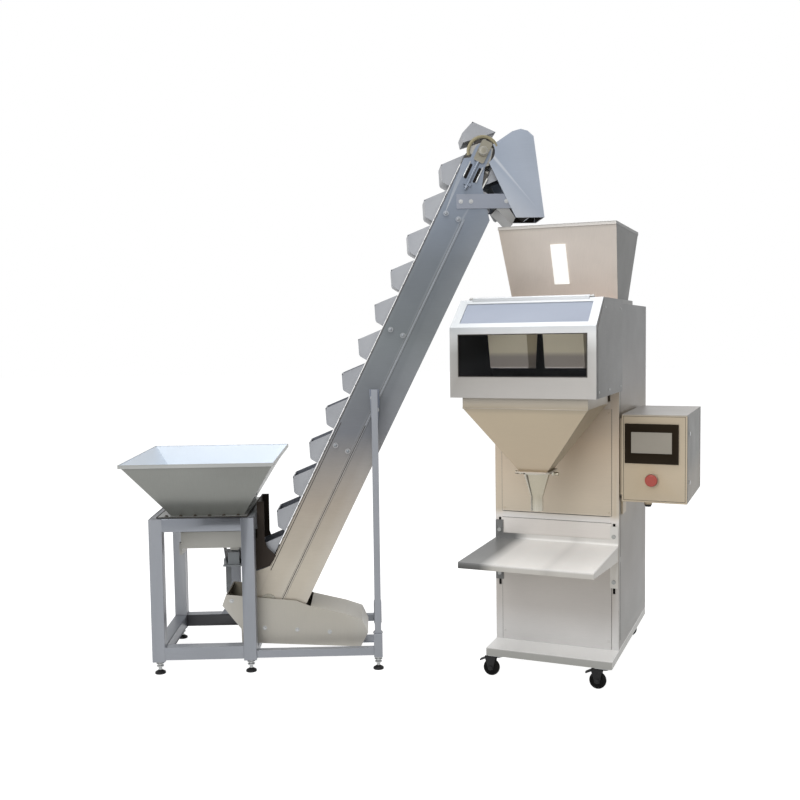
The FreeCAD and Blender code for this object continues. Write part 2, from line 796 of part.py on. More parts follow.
def chute_sheet():
    floor = strip_xz(chute_pts[0], chute_pts[1], sheet, plate_y0, plate_y1)
    cheeks = []
    for y in (plate_y0, inner_y1):
        a, b = chute_pts
        edge = [(b[0] + chute_cheek[0][0], b[1] + chute_cheek[0][1]),
                (a[0] + chute_cheek[1][0], a[1] + chute_cheek[1][1])]
        cheeks.append(slab_xz([a, b] + edge, y, y + sheet))
    return [joined([floor] + cheeks)]


def boot():
    """The trough under the tail, closed below and at its nose and open where the casing comes down."""
    y0 = plate_y0 - boot_side
    y1 = plate_y1 + boot_side
    ends = [V(x, y0, z) for x, z in boot_pts]
    rim = Part.makePolygon(ends + ends[:1])
    inner = Part.Face(rim.makeOffset2D(-sheet, 2)).extrude(V(0, y1 - y0 - 2 * sheet, 0))
    inner.translate(V(0, sheet, 0))
    trough = slab_xz(boot_pts, y0, y1).cut(inner)
    return [trough.cut(slab_xz(boot_open, y0 + sheet, y1 - sheet))]


def in_filler(shape):
    placed = shape.copy()
    placed.rotate(V(0, 0, 0), V(0, 0, 1), -filler_yaw)
    placed.translate(V(filler_x, filler_y, 0))
    return placed


def base_tray():
    half = col_w / 2
    tray = box(-half, half, -base_front, col_d, base_z0, base_z1)
    tray = tray.cut(box(-half + sheet, half - sheet, -base_front + sheet, col_d - sheet,
                        base_z0, base_z1 - sheet))
    return [tray]


def caster_spots():
    return {"front_left": (-caster_x, caster_y[0]), "front_right": (caster_x, caster_y[0]),
            "rear_left": (-caster_x, caster_y[1]), "rear_right": (caster_x, caster_y[1])}


def caster_plates():
    plates = []
    half = caster_plate / 2
    low = base_z0 - caster_plate_t
    for x, y in caster_spots().values():
        plate = box(x - half, x + half, y - half, y + half, low, base_z0)
        filler = box(x - half, x + half, y - half, y + half, base_z0, base_z1 - sheet)
        pin = cyl(kingpin_r, (x, y, low - swivel_h - 4), (0, 0, 1), swivel_h + 4)
        washer = cyl(kingpin_r + 3, (x, y, low - swivel_h - 4), (0, 0, 1), 3)
        plates.append(joined([plate, filler, pin, washer]))
    return plates


def caster_fork():
    """The swivelling fork about its own kingpin, trailing towards +Y, with a pin for a brake lever."""
    top = base_z0 - caster_plate_t - gap
    low = top - swivel_h + gap
    head = cyl(swivel_r, (0, 0, low), (0, 0, 1), top - low)
    x0 = wheel_w / 2 + fork_gap
    web = box(-x0 - fork_t, x0 + fork_t, 10, trail + 12, low, low + fork_t)
    sides = []
    for x in (-x0 - fork_t, x0):
        sides.append(slab_yz(((trail - 9, wheel_r - 8), (trail + 9, wheel_r - 8), (trail + 22, low - 9),
                              (trail + 22, low + fork_t), (4, low + fork_t)), x, x + fork_t))
    axle = cyl(axle_r, (-x0 - fork_t - 3, trail, wheel_r), (1, 0, 0), 2 * (x0 + fork_t + 3))
    pin = cyl(pedal_pin_r, (-x0, pedal_pin_at(low)[0], pedal_pin_at(low)[1]), (1, 0, 0), 2 * x0)
    fork = joined([head, web, axle, pin] + sides)
    return fork.cut(cyl(kingpin_r + running, (0, 0, low), (0, 0, 1), top - low))


def at_caster(shape, x, y):
    placed = shape.copy()
    placed.rotate(V(0, 0, 0), V(0, 0, 1), caster_rest)
    placed.translate(V(x, y, 0))
    return placed


def pedal_pin_at(low):
    return (trail + 16.0, low - 5.0)


def caster_wheel():
    core = cyl(wheel_r, (-wheel_w / 2, trail, wheel_r), (1, 0, 0), wheel_w)
    return core.cut(cyl(axle_r + running, (-wheel_w / 2, trail, wheel_r), (1, 0, 0), wheel_w))


def brake_pedal():
    """A foot lever behind the wheel, on the fork's brake pin."""
    y, z = pedal_pin_at(base_z0 - caster_plate_t - swivel_h)
    x0 = wheel_w / 2 - 2
    blade = slab_yz(((y, z - 4), (y + 28, z - 17), (y + 30, z - 12), (y + 2, z + 3)), -x0, x0)
    barrel = cyl(pedal_barrel_r, (-x0, y, z), (1, 0, 0), 2 * x0)
    return joined([blade, barrel]).cut(cyl(pedal_pin_r + running, (-x0, y, z), (1, 0, 0), 2 * x0))


def column_frame():
    half = col_w / 2
    inner = half - sheet
    posts = []
    for x0, x1 in ((-inner, -inner + post), (inner - post, inner)):
        front = box(x0, x1, 0, post, base_z1, col_top - sheet)
        for z in slot_z:
            mid = (x0 + x1) / 2
            front = front.cut(box(mid - slot_w / 2, mid + slot_w / 2, 0, post, z - slot_len / 2,
                                  z + slot_len / 2))
        posts.append(front)
        posts.append(box(x0, x1, col_d - post - door_t, col_d - door_t, base_z1, col_top - sheet))
    for z in rail_mid_z:
        posts.append(box(-inner + post, inner - post, 0, post, z, z + post))
    for y in (0, col_d - post - door_t):
        posts.append(box(-inner + post, inner - post, y, y + post, col_top - sheet - post, col_top - sheet))
    posts.append(box(-inner + post, inner - post, 0, post, cell_z - post / 2, cell_z + post / 2))
    return posts


def column_panels():
    """The column's two sides, its top, both front panels and the fixed panel over the rear door."""
    half = col_w / 2
    inner = half - sheet
    hole = (top_mouth_w / 2 - 14, top_mouth_d / 2 - 14)
    panels = [box(x, x + sheet, 0, col_d, base_z1, col_top) for x in (-half, inner)]
    plate = box(-inner, inner, 0, col_d, col_top - sheet, col_top)
    panels.append(plate.cut(box(-hole[0], hole[0], top_hopper_y - hole[1], top_hopper_y + hole[1],
                                col_top - sheet, col_top)))
    lap = inner - post + panel_lap
    for z0, z1 in (upper_panel_z, (base_z1, lower_panel_top)):
        panels.append(box(-lap, lap, -panel_t, 0, z0, z1))
    panels.append(box(-inner, inner, col_d - door_t, col_d - door_t + sheet, door_top + door_gap,
                      col_top - sheet))
    return panels


def door_hinge_zs():
    return (base_z1 + hinge_up, door_top - hinge_down)


def rear_door():
    inner = col_w / 2 - sheet - door_gap
    y0, y1 = col_d - door_t + gap, col_d
    pan = box(-inner, inner, y0, y1, base_z1 + door_gap, door_top)
    pan = pan.cut(box(-inner + sheet, inner - sheet, y0, y1 - sheet, base_z1 + door_gap + sheet,
                      door_top - sheet))
    knob = cyl(14, (inner - 45, y1, handle_z), (0, 1, 0), 8)
    grip = box(inner - 50, inner - 40, y1 + 8, y1 + 20, handle_z - 45, handle_z + 12)
    leaves = [pan, knob, grip]
    for z in door_hinge_zs():
        barrel = ring(hinge_r, hinge_pin_r + running, (-hinge_at()[0], hinge_at()[1], z), (0, 0, 1), hinge_l)
        leaf = box(-hinge_at()[0], -inner + 20, col_d + door_lift, col_d + 3, z, z + hinge_l)
        boss = box(-inner, -inner + 20, y1 - 1, col_d + 3, z, z + hinge_l)
        leaf = leaf.cut(cyl(hinge_r - 0.5, (-hinge_at()[0], hinge_at()[1], z), (0, 0, 1), hinge_l))
        leaves += [barrel, leaf, boss]
    return [joined(leaves)]


def hinge_at():
    return (col_w / 2 + hinge_r + 1.0, col_d + hinge_r / 2 + 1)


def door_hinges():
    pins = []
    x, y = hinge_at()
    for z in door_hinge_zs():
        pin = cyl(hinge_pin_r, (-x, y, z - 16), (0, 0, 1), hinge_l + 32)
        ends = [pin]
        for z0 in (z - 16, z + hinge_l + gap):
            knuckle = cyl(hinge_r, (-x, y, z0), (0, 0, 1), 16 - gap)
            leaf = box(-x - hinge_r, -col_w / 2, y - 30, y, z0, z0 + 16 - gap)
            leaf = leaf.cut(box(-x - hinge_r, -col_w / 2 - 3, y - 30, y - hinge_r, z0, z0 + 16 - gap))
            ends += [knuckle, leaf]
        pins.append(joined(ends))
    return pins


def bag_tray():
    half = tray_w / 2
    back = tray_back
    reach = tray_z - tray_lip - 40
    low = slot_z[0] - 24
    plate = box(-half, half, -tray_front, back, tray_z - sheet, tray_z)
    front = box(-half, half, -tray_front, -tray_front + sheet, tray_z - tray_lip, tray_z)
    sides = [slab_yz(((-tray_front, tray_z - tray_lip), (back, reach), (back, tray_z), (-tray_front, tray_z)),
                     x, x + sheet) for x in (-half, half - sheet)]
    up = box(-half, half, back - sheet, back, low, tray_up)
    for z0, z1 in ((low, reach), (tray_ridge, tray_up)):
        up = up.cut(box(-half + post, half - post, back - sheet, back, z0, z1))
    tray = joined([plate, front, up] + sides)
    mid = col_w / 2 - sheet - post / 2
    holes = [cyl(bolt_r, (x, back - sheet, z), (0, 1, 0), sheet) for x in (-mid, mid) for z in slot_z]
    return [tray.cut(holes)]


def tray_bolts():
    bolts = []
    mid = col_w / 2 - sheet - post / 2
    back = tray_back - sheet
    for x in (-mid, mid):
        for z in slot_z:
            shank = cyl(bolt_r, (x, back, z), (0, 1, 0), post + 14)
            cap = cyl(bolt_r * 1.9, (x, back - 6, z), (0, 1, 0), 6)
            washer = cyl(bolt_r * 2.2, (x, post + gap, z), (0, 1, 0), 3)
            bolts.append(joined([shank, cap, washer]))
    return bolts


def top_hopper():
    w, d = top_rim_w / 2, top_rim_d / 2
    mw, md = top_mouth_w / 2, top_mouth_d / 2
    c = top_hopper_y
    body = funnel_shell((-mw, mw, c - md, c + md), (-w, w, c - d, c + d), top_mouth_z, top_rim_z, sheet)
    band = box(-w, w, c - d, c + d, top_rim_z - top_fold, top_rim_z)
    band = band.cut(box(-w + 2, w - 2, c - d + 2, c + d - 2, top_rim_z - top_fold, top_rim_z))
    flange = box(-mw - 16, mw + 16, c - md - 16, c + md + 16, col_top, top_mouth_z)
    flange = flange.cut(box(-mw + sheet, mw - sheet, c - md + sheet, c + md - sheet, col_top, top_mouth_z))
    whole = joined([body, band, flange])
    return [whole.cut(sight_slot(sight_w, sight_h, 30))]


def sight_slot(w, h, deep):
    """A slot's block lying on the hopper's front wall, which leans out towards the filler's front."""
    rise = top_rim_z - top_mouth_z
    lean = (top_rim_d - top_mouth_d) / 2
    slope = math.degrees(math.atan2(lean, rise))
    block = box(-w / 2, w / 2, -deep / 2, deep / 2, 0, h)
    block.rotate(V(0, 0, 0), V(1, 0, 0), slope)
    z = top_mouth_z + sight_low
    y = top_hopper_y - top_mouth_d / 2 - lean * sight_low / rise
    block.translate(V(0, y, z))
    return block


def sight_window():
    frame_edge = 12.0
    pane = sight_slot(sight_w + frame_edge, sight_h + frame_edge, 4)
    slope = math.atan2((top_rim_d - top_mouth_d) / 2, top_rim_z - top_mouth_z)
    shift = 2.0 + gap
    pane.translate(V(0, -shift * math.cos(slope), -shift * math.sin(slope)))
    return [pane]


def head_side():
    """Side view of the weighing head's case, as y and z, set back from the cover."""
    y0 = -head_front + head_inset
    seam = head_seam
    step = head_z2 - head_inset
    return ((y0, head_z0), (0.0, head_z0), (0.0, head_z2), (seam, head_z2), (seam, step),
            (-head_front + head_slope, step), (y0, head_z1 - head_inset * 0.6))


def head_case():
    half = head_w / 2
    cheeks = [slab_yz(head_side(), x, x + sheet) for x in (-half, half - sheet)]
    hole = (skirt_w / 2 - 20, skirt_d / 2 - 20)
    floor = box(-half + sheet, half - sheet, -head_front + head_inset, 0, head_z0, head_z0 + sheet)
    floor = floor.cut(box(-hole[0], hole[0], funnel_y - hole[1], funnel_y + hole[1], head_z0, head_z0 + sheet))
    roof = box(-half + sheet, half - sheet, head_seam, 0, head_z2 - sheet, head_z2)
    y, z = cover_hinge()
    reach = cover_pin_l / 2
    pin = cyl(cover_pin_r, (-reach, y, z), (1, 0, 0), 2 * reach)
    lugs = []
    for x in (-reach, reach - 12):
        lugs.append(cyl(cover_barrel_r, (x, y, z), (1, 0, 0), 12))
        lugs.append(box(x, x + 12, y, head_seam + 8, head_z2, z))
    return [joined(cheeks + [floor, roof]), joined([pin] + lugs)]


def window_cover():
    """The lifting cover: a front frame and a sloping top frame with openings for the panes."""
    half = head_w / 2
    y0, t = -head_front, sheet
    side = cover_side
    yb = -head_front + head_slope
    pane_x = half - side
    front = box(-half, half, y0, y0 + t, head_z0, head_z1)
    front = front.cut(box(-pane_x, pane_x, y0, y0 + t, head_z0 + 72, head_z1 - 24))
    a, b = (y0, head_z1), (yb, head_z2)
    length = math.hypot(b[0] - a[0], b[1] - a[1])
    u = ((b[0] - a[0]) / length, (b[1] - a[1]) / length)
    n = (u[1], -u[0])

    def lying(v, w):
        return (a[0] + u[0] * v + n[0] * w, a[1] + u[1] * v + n[1] * w)
    slope = slab_yz((lying(0, 0), lying(length, 0), lying(length, t), lying(0, t)), -half, half)
    slope = slope.cut(slab_yz((lying(22, -1), lying(length - 22, -1), lying(length - 22, t + 1),
                               lying(22, t + 1)), -pane_x, pane_x))
    rims = []
    for x in (-half, half - t):
        rims.append(slab_yz((lying(0, 0), lying(length, 0), lying(length - 14, 12), lying(0, 16)), x, x + t))
        rims.append(box(x, x + t, y0, y0 + 18, head_z0, head_z1))
    bottom = box(-half, half, y0, y0 + 16, head_z0, head_z0 + t)
    y, z = cover_hinge()
    reach = cover_pin_l / 2 - 14
    barrel = cyl(cover_barrel_r, (-reach, y, z), (1, 0, 0), 2 * reach)
    low = z - cover_barrel_r + 1
    leaf = box(-reach, reach, yb - 8, y, low, low + 2)
    leaf = leaf.fuse(box(-reach, reach, yb - 8, yb - 4, head_z2 - 8, low + 2))
    whole = joined([front, slope, bottom, leaf, barrel] + rims)
    return [whole.cut(cyl(cover_pin_r + running, (-reach, y, z), (1, 0, 0), 2 * reach))]


def cover_panes():
    half = head_w / 2 - cover_side + 8
    y0 = -head_front + sheet
    front = box(-half, half, y0, y0 + pane_t, head_z0 + 64, head_z1 - 16)
    a, b = (-head_front, head_z1), (-head_front + head_slope, head_z2)
    length = math.hypot(b[0] - a[0], b[1] - a[1])
    u = ((b[0] - a[0]) / length, (b[1] - a[1]) / length)
    n = (u[1], -u[0])

    def lying(v, w):
        return (a[0] + u[0] * v + n[0] * w, a[1] + u[1] * v + n[1] * w)
    top = slab_yz((lying(16, sheet), lying(length - 16, sheet), lying(length - 16, sheet + pane_t),
                   lying(16, sheet + pane_t)), -half, half)
    return [front, top]


def cover_hinge():
    """Where the cover's hinge axis lies, as y and z."""
    return (head_seam - 5.0, head_z2 + cover_barrel_r)


def feed_pans():
    """Twin vibrating channels, one over each weigh bucket, on one shared carrier."""
    pans = []
    for side in (-1, 1):
        x = side * feed_x
        half = feed_w / 2
        pan = box(x - half, x + half, feed_y0, feed_y1, feed_z0, feed_z1)
        pan = pan.cut(box(x - half + sheet, x + half - sheet, feed_y0, feed_y1 - sheet,
                          feed_z0 + sheet, feed_z1))
        pans.append(pan)
    carrier = box(-feed_x - 60, feed_x + 60, feed_drive[0], feed_drive[1], feed_z0 - 10, feed_z0)
    return pans + [carrier]


def feed_drives():
    y0, y1, z0 = feed_drive
    units = []
    for side in (-1, 1):
        x = side * feed_x
        units.append(box(x - 40, x + 40, y0, y1, z0, feed_z0 - 10 - gap))
    inner = col_w / 2 - sheet
    units.append(box(-inner, inner, post, col_d - door_t - post, z0 - 20, z0))
    return units


def weigh_shell(x):
    half, d = weigh_w / 2, weigh_d / 2
    outer = (x - half, x + half, weigh_y - d, weigh_y + d)
    low = (x - half, x + half, weigh_y - d + 30, weigh_y - d + 30 + weigh_mouth_d)
    return funnel_shell(low, outer, weigh_z0, weigh_z1, bucket_sheet)


def weigh_buckets():
    return [weigh_shell(side * weigh_x) for side in (-1, 1)]


def load_cells():
    """Beam cells between the head's cross rail and the weigh buckets' backs."""
    cells = []
    for side in (-1, 1):
        x = side * weigh_x
        back = weigh_y + weigh_d / 2 + gap
        beam = box(x - cell_w / 2, x + cell_w / 2, back + 14, 0, cell_z - cell_h / 2, cell_z + cell_h / 2)
        hook = box(x - 22, x + 22, back, back + 14, cell_z - cell_h / 2, weigh_z1)
        cells.append(joined([beam, hook]))
    return cells


def flap_axis():
    """The flap hinge behind each weigh bucket's mouth, as y and z."""
    return (weigh_y - weigh_d / 2 + 30 + weigh_mouth_d + 6.0, weigh_z0 - 4.0)


def flap(side):
    x = side * weigh_x
    half = weigh_w / 2 - 2
    y0 = weigh_y - weigh_d / 2 + 26
    y, z = flap_axis()
    plate = box(x - half, x + half, y0, y, weigh_z0 - gap - flap_t, weigh_z0 - gap)
    pivot = cyl(4.0, (x - half, y, z), (1, 0, 0), 2 * half)
    return [joined([plate, pivot])]


def funnel():
    w, d = skirt_w / 2, skirt_d / 2
    n = neck_w / 2
    c = funnel_y
    skirt = (-w, w, c - d, c + d)
    neck = (-n, n, c - n, c + n)
    upper = funnel_shell(skirt, skirt, skirt_z, head_z0, sheet)
    cone = funnel_shell(neck, skirt, neck_z, skirt_z, sheet)
    collar = funnel_shell((-n - 10, n + 10, c - n - 10, c + n + 10), (-n - 10, n + 10, c - n - 10, c + n + 10),
                          neck_z - neck_flange, neck_z, 10 + sheet)
    return [joined([upper, cone, collar])]


def spout():
    """The filling spout under the funnel, and the two toggle screws that hold its flange."""
    top = neck_z - neck_flange
    c = funnel_y

    def cone(r1, r0):
        return Part.makeCone(r0, r1, top - 6 - spout_cone_z, V(0, c, spout_cone_z))
    flange = ring(spout_flange_r, spout_cone_r - spout_wall, (0, c, top - 6), (0, 0, 1), 6)
    wall = cone(spout_cone_r, spout_r).cut(cone(spout_cone_r - spout_wall, spout_r - spout_wall))
    pipe = ring(spout_r, spout_r - spout_wall, (0, c, spout_z), (0, 0, 1), spout_cone_z - spout_z)
    pieces = [joined([flange, wall, pipe])]
    for d in (-1, 1):
        x = d * spout_flange_r
        body = box(min(x, x + d * 8), max(x, x + d * 8), c - 8, c + 8, top - 12, top)
        knob = cyl(6, (x + d * 8, c, top - 6), (d, 0, 0), 14)
        pieces.append(joined([body, knob]))
    return pieces


def control_box():
    shell = box(box_x0, box_x1, box_y0, box_y1, box_z0, box_z1)
    shell = shell.cut(box(box_x0 + sheet, box_x1 - sheet, box_y0 + sheet, box_y1, box_z0 + sheet,
                          box_z1 - sheet))
    back = box(box_x0 + sheet, box_x1 - sheet, box_y1 - sheet, box_y1, box_z0 + sheet, box_z1 - sheet)
    shell = shell.cut(cyl(stop_stem_r + running, (stop_x, box_y0, stop_z), (0, 1, 0), sheet))
    side = col_w / 2
    y0, y1 = box_y0 + shoe_y[0], box_y0 + shoe_y[1]
    low, rib_t = box_z0 - shoe_t, shoe_rib[0]
    arm = box(side, box_x0, box_y0 + arm_in[0], box_y1 - arm_in[1], box_z0 + arm_in[2], box_z1 - arm_in[2])
    shoe = box(side, box_x0 + shoe_reach, y0, y1, low, box_z0)
    rib = box(side, side + rib_t, y0, y1, box_z0 - shoe_rib[1], low)
    dx, dy, gland_h = gland_off
    gland = cyl(gland_r, (box_x0 + dx, box_y0 + dy, box_z0 - gland_h), (0, 0, 1), gland_h)
    return [shell, back, arm, joined([shoe, rib]), gland]


def hmi_panel():
    x0, x1 = hmi_x - hmi_w / 2, hmi_x + hmi_w / 2
    z0, z1 = hmi_z - hmi_h / 2, hmi_z + hmi_h / 2
    bezel = box(x0, x1, box_y0 - hmi_t, box_y0, z0, z1)
    sx, sz = screen_w / 2, screen_h / 2
    bezel = bezel.cut(box(hmi_x - sx, hmi_x + sx, box_y0 - hmi_t, box_y0 - hmi_t + 2,
                          hmi_z + screen_up - sz, hmi_z + screen_up + sz))
    return [bezel]


def stop_collar():
    return [ring(stop_ring_r, stop_stem_r + running, (stop_x, box_y0, stop_z), (0, -1, 0), stop_ring_t)]


def stop_button():
    back = box_y0 - stop_ring_t - stop_travel - 2.0
    stem = cyl(stop_stem_r, (stop_x, back, stop_z), (0, 1, 0), box_y0 + sheet - back)
    cap = cyl(stop_r, (stop_x, back, stop_z), (0, -1, 0), stop_cap_t)
    front = back - stop_cap_t
    edges = [e for e in cap.Edges if max(abs(e.BoundBox.YMin - front), abs(e.BoundBox.YMax - front)) < 1e-6]
    return [joined([stem, cap.makeFillet(5.0, edges)])]


def shaft_set(s, reach, drive=0.0):
    """A shaft across both plates, reaching past them by reach, with its two sprockets."""
    return [shaft(s, plate_y0 - reach, plate_y1 + reach + drive)] + sprocket_pair(s)


def run_set(s0, side):
    """One run's two chain strands, side +1 on the way up and -1 on the way down."""
    turn = 0.0 if side > 0 else 180.0
    return [to_run(strand, s0, side * pitch_r, turn) for strand in run_strands(bucket_spots())]


def wrap_set(s, start):
    """The links and the bucket that lie on the shaft at s, from the angle start round."""
    links = [to_run(strand, s, 0.0, start + phase_turn) for strand in wrap_strands(link_turn / 2)]
    return links + [on_wrap(bucket(), s, start + phase_turn + link_turn / 2)]


def lift_nodes():
    head_reach = bearing_t + boss_t
    tail_reach = tail_bearing_t + tail_boss_t
    up_start, down_start = chain_phase, shaft_gap - chain_phase
    nodes = {
        "stand_frame": stand_frame(),
        "levelling_feet": levelling_feet(),
        "leg_brackets": leg_brackets(),
        "feed_hopper": feed_hopper(),
        "feeder_tray": feeder_tray(),
        "feeder_drive": feeder_drive(),
        "inlet_guard": inlet_guard(),
        "side_plates": side_plates(),
        "return_cover": return_cover(),
        "tie_rods": tie_rods(),
        "guide_rails": guide_rails(),
        "shaft_bearings": shaft_bearings(),
        "takeup_screws": takeup_screws(),
        "head_shaft": shaft_set(shaft_gap, head_reach, gearbox_l),
        "tail_shaft": shaft_set(0.0, tail_reach),
        "up_chain": run_set(up_start, 1),
        "up_buckets": run_bucket_set(bucket_spots(), up_start, 1),
        "down_chain": run_set(down_start, -1),
        "down_buckets": run_bucket_set(bucket_spots(), down_start, -1),
        "head_links": wrap_set(shaft_gap, 0.0),
        "tail_links": wrap_set(0.0, 180.0),
        "gear_motor": gear_motor(),
        "discharge_hood": hood(),
        "spill_chute": chute_sheet(),
        "boot": boot(),
    }
    return nodes


def filler_nodes():
    nodes = {
        "base_tray": base_tray(),
        "caster_plates": caster_plates(),
        "column_frame": column_frame(),
        "column_panels": column_panels(),
        "rear_door": rear_door(),
        "door_hinges": door_hinges(),
        "bag_tray": bag_tray(),
        "tray_bolts": tray_bolts(),
        "top_hopper": top_hopper(),
        "sight_window": sight_window(),
        "head_case": head_case(),
        "window_cover": window_cover(),
        "cover_panes": cover_panes(),
        "feed_pans": feed_pans(),
        "feed_drives": feed_drives(),
        "weigh_buckets": weigh_buckets(),
        "load_cells": load_cells(),
        "flap_left": flap(-1),
        "flap_right": flap(1),
        "funnel": funnel(),
        "spout": spout(),
        "control_box": control_box(),
        "hmi_panel": hmi_panel(),
        "stop_collar": stop_collar(),
        "stop_button": stop_button(),
    }
    for name, (x, y) in caster_spots().items():
        for kind, shape in (("fork", caster_fork()), ("wheel", caster_wheel())):
            nodes["caster_%s_%s" % (kind, name)] = [at_caster(shape, x, y)]
        if name.startswith("front"):
            nodes["brake_pedal_" + name] = [at_caster(brake_pedal(), x, y)]
    return {name: [in_filler(s) for s in shapes] for name, shapes in nodes.items()}


def build():
    nodes = lift_nodes()
    nodes.update(filler_nodes())
    return nodes


def footprint(nodes):
    """The centre of the whole object's base, which becomes the origin."""
    whole = FreeCAD.BoundBox()
    for shapes in nodes.values():
        for shape in shapes:
            whole.add(shape.BoundBox)
    return V((whole.XMin + whole.XMax) / 2, (whole.YMin + whole.YMax) / 2, whole.ZMin)


def main():
    os.makedirs("parts", exist_ok=True)
    nodes = build()
    origin = footprint(nodes)
    for name, shapes in nodes.items():
        moved = []
        for shape in shapes:
            solid = shape.copy()
            solid.translate(origin * -1)
            moved.append(solid)
        whole = moved[0] if len(moved) == 1 else Part.makeCompound(moved)
        whole.exportStep("parts/%s.step" % name)
    print(len(nodes), "nodes, origin", origin)


if __name__ == "__main__":
    main()
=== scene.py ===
import bpy
import bmesh
import json
import math
from mathutils import Matrix, Vector


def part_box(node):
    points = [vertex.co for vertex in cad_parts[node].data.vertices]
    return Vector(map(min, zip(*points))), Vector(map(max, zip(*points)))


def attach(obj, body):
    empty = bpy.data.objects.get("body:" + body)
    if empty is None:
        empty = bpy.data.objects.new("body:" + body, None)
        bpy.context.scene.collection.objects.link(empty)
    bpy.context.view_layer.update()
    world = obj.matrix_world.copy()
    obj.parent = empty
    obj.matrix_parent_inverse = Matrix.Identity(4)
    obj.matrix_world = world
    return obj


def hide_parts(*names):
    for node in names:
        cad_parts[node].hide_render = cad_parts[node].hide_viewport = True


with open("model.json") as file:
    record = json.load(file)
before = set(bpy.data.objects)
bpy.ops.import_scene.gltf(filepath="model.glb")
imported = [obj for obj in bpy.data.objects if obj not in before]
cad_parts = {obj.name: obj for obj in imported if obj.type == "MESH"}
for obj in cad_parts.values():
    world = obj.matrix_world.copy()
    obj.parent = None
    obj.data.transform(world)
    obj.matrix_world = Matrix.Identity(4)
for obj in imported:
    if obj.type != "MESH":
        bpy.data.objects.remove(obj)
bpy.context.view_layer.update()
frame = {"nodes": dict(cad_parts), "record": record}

print("stage: frame loaded,", len(frame["nodes"]), "nodes")

layout = {"fillerX": 1571.0, "fillerY": -85.0, "fillerYaw": 24.5, "incline": 63.66, "tailX": 445.5,
          "tailZ": 252.9, "runLength": 1981.2, "pitch": 50.8, "phase": 14.0, "middle": 205.0}
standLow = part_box("stand_frame")[0]


def liftPoint(x, y, z):
    return Vector((standLow.x + x / 1000, standLow.y + y / 1000, z / 1000))


def fillerPoint(x, y, z):
    a = math.radians(layout["fillerYaw"])
    return liftPoint(layout["fillerX"] + x * math.cos(a) + y * math.sin(a),
                     layout["fillerY"] - x * math.sin(a) + y * math.cos(a), z)


def runPoint(s, n, y):
    a = math.radians(layout["incline"])
    return liftPoint(layout["tailX"] + s * math.cos(a) - n * math.sin(a), y,
                     layout["tailZ"] + s * math.sin(a) + n * math.cos(a))


cameraSet = {"x": 881.7, "y": -3748.5, "z": 1316.5, "yaw": -0.027, "pitch": 0.067, "roll": -0.014,
             "focalPixels": 971.5, "imageWidth": 800.0, "sensor": 36.0}


def makeCamera():
    c = cameraSet
    forward = Vector((math.sin(-c["yaw"]) * math.cos(c["pitch"]), math.cos(c["yaw"]) * math.cos(c["pitch"]),
                      -math.sin(c["pitch"])))
    side = forward.cross(Vector((0, 0, 1))).normalized()
    top = side.cross(forward).normalized()
    right = side * math.cos(c["roll"]) + top * math.sin(c["roll"])
    up = -side * math.sin(c["roll"]) + top * math.cos(c["roll"])
    place = Matrix((right, up, -forward)).transposed().to_4x4()
    place.translation = liftPoint(c["x"], c["y"], c["z"])
    data = bpy.data.cameras.new("photoCamera")
    data.sensor_width = c["sensor"]
    data.lens = c["focalPixels"] / c["imageWidth"] * c["sensor"]
    data.clip_end = 100.0
    camera = bpy.data.objects.new("photoCamera", data)
    bpy.context.scene.collection.objects.link(camera)
    camera.matrix_world = place
    bpy.context.scene.camera = camera


makeCamera()
print("stage: camera")


class Wire:
    def __init__(self, tree, out):
        self.tree, self.out = tree, out

    def feed(self, socket, value):
        if isinstance(value, Wire):
            self.tree.links.new(value.out, socket)
        else:
            socket.default_value = value

    def math(self, operation, *values):
        node = self.tree.nodes.new("ShaderNodeMath")
        node.operation = operation
        for socket, value in zip(node.inputs, values):
            self.feed(socket, value)
        return Wire(self.tree, node.outputs[0])

    def __add__(self, other): return self.math("ADD", self, other)
    def __radd__(self, other): return self.math("ADD", other, self)
    def __sub__(self, other): return self.math("SUBTRACT", self, other)
    def __rsub__(self, other): return self.math("SUBTRACT", other, self)
    def __mul__(self, other): return self.math("MULTIPLY", self, other)
    def __rmul__(self, other): return self.math("MULTIPLY", other, self)
    def __gt__(self, other): return self.math("GREATER_THAN", self, other)
    def __lt__(self, other): return self.math("LESS_THAN", self, other)

    def clamp(self): return self.math("MINIMUM", self.math("MAXIMUM", self, 0.0), 1.0)


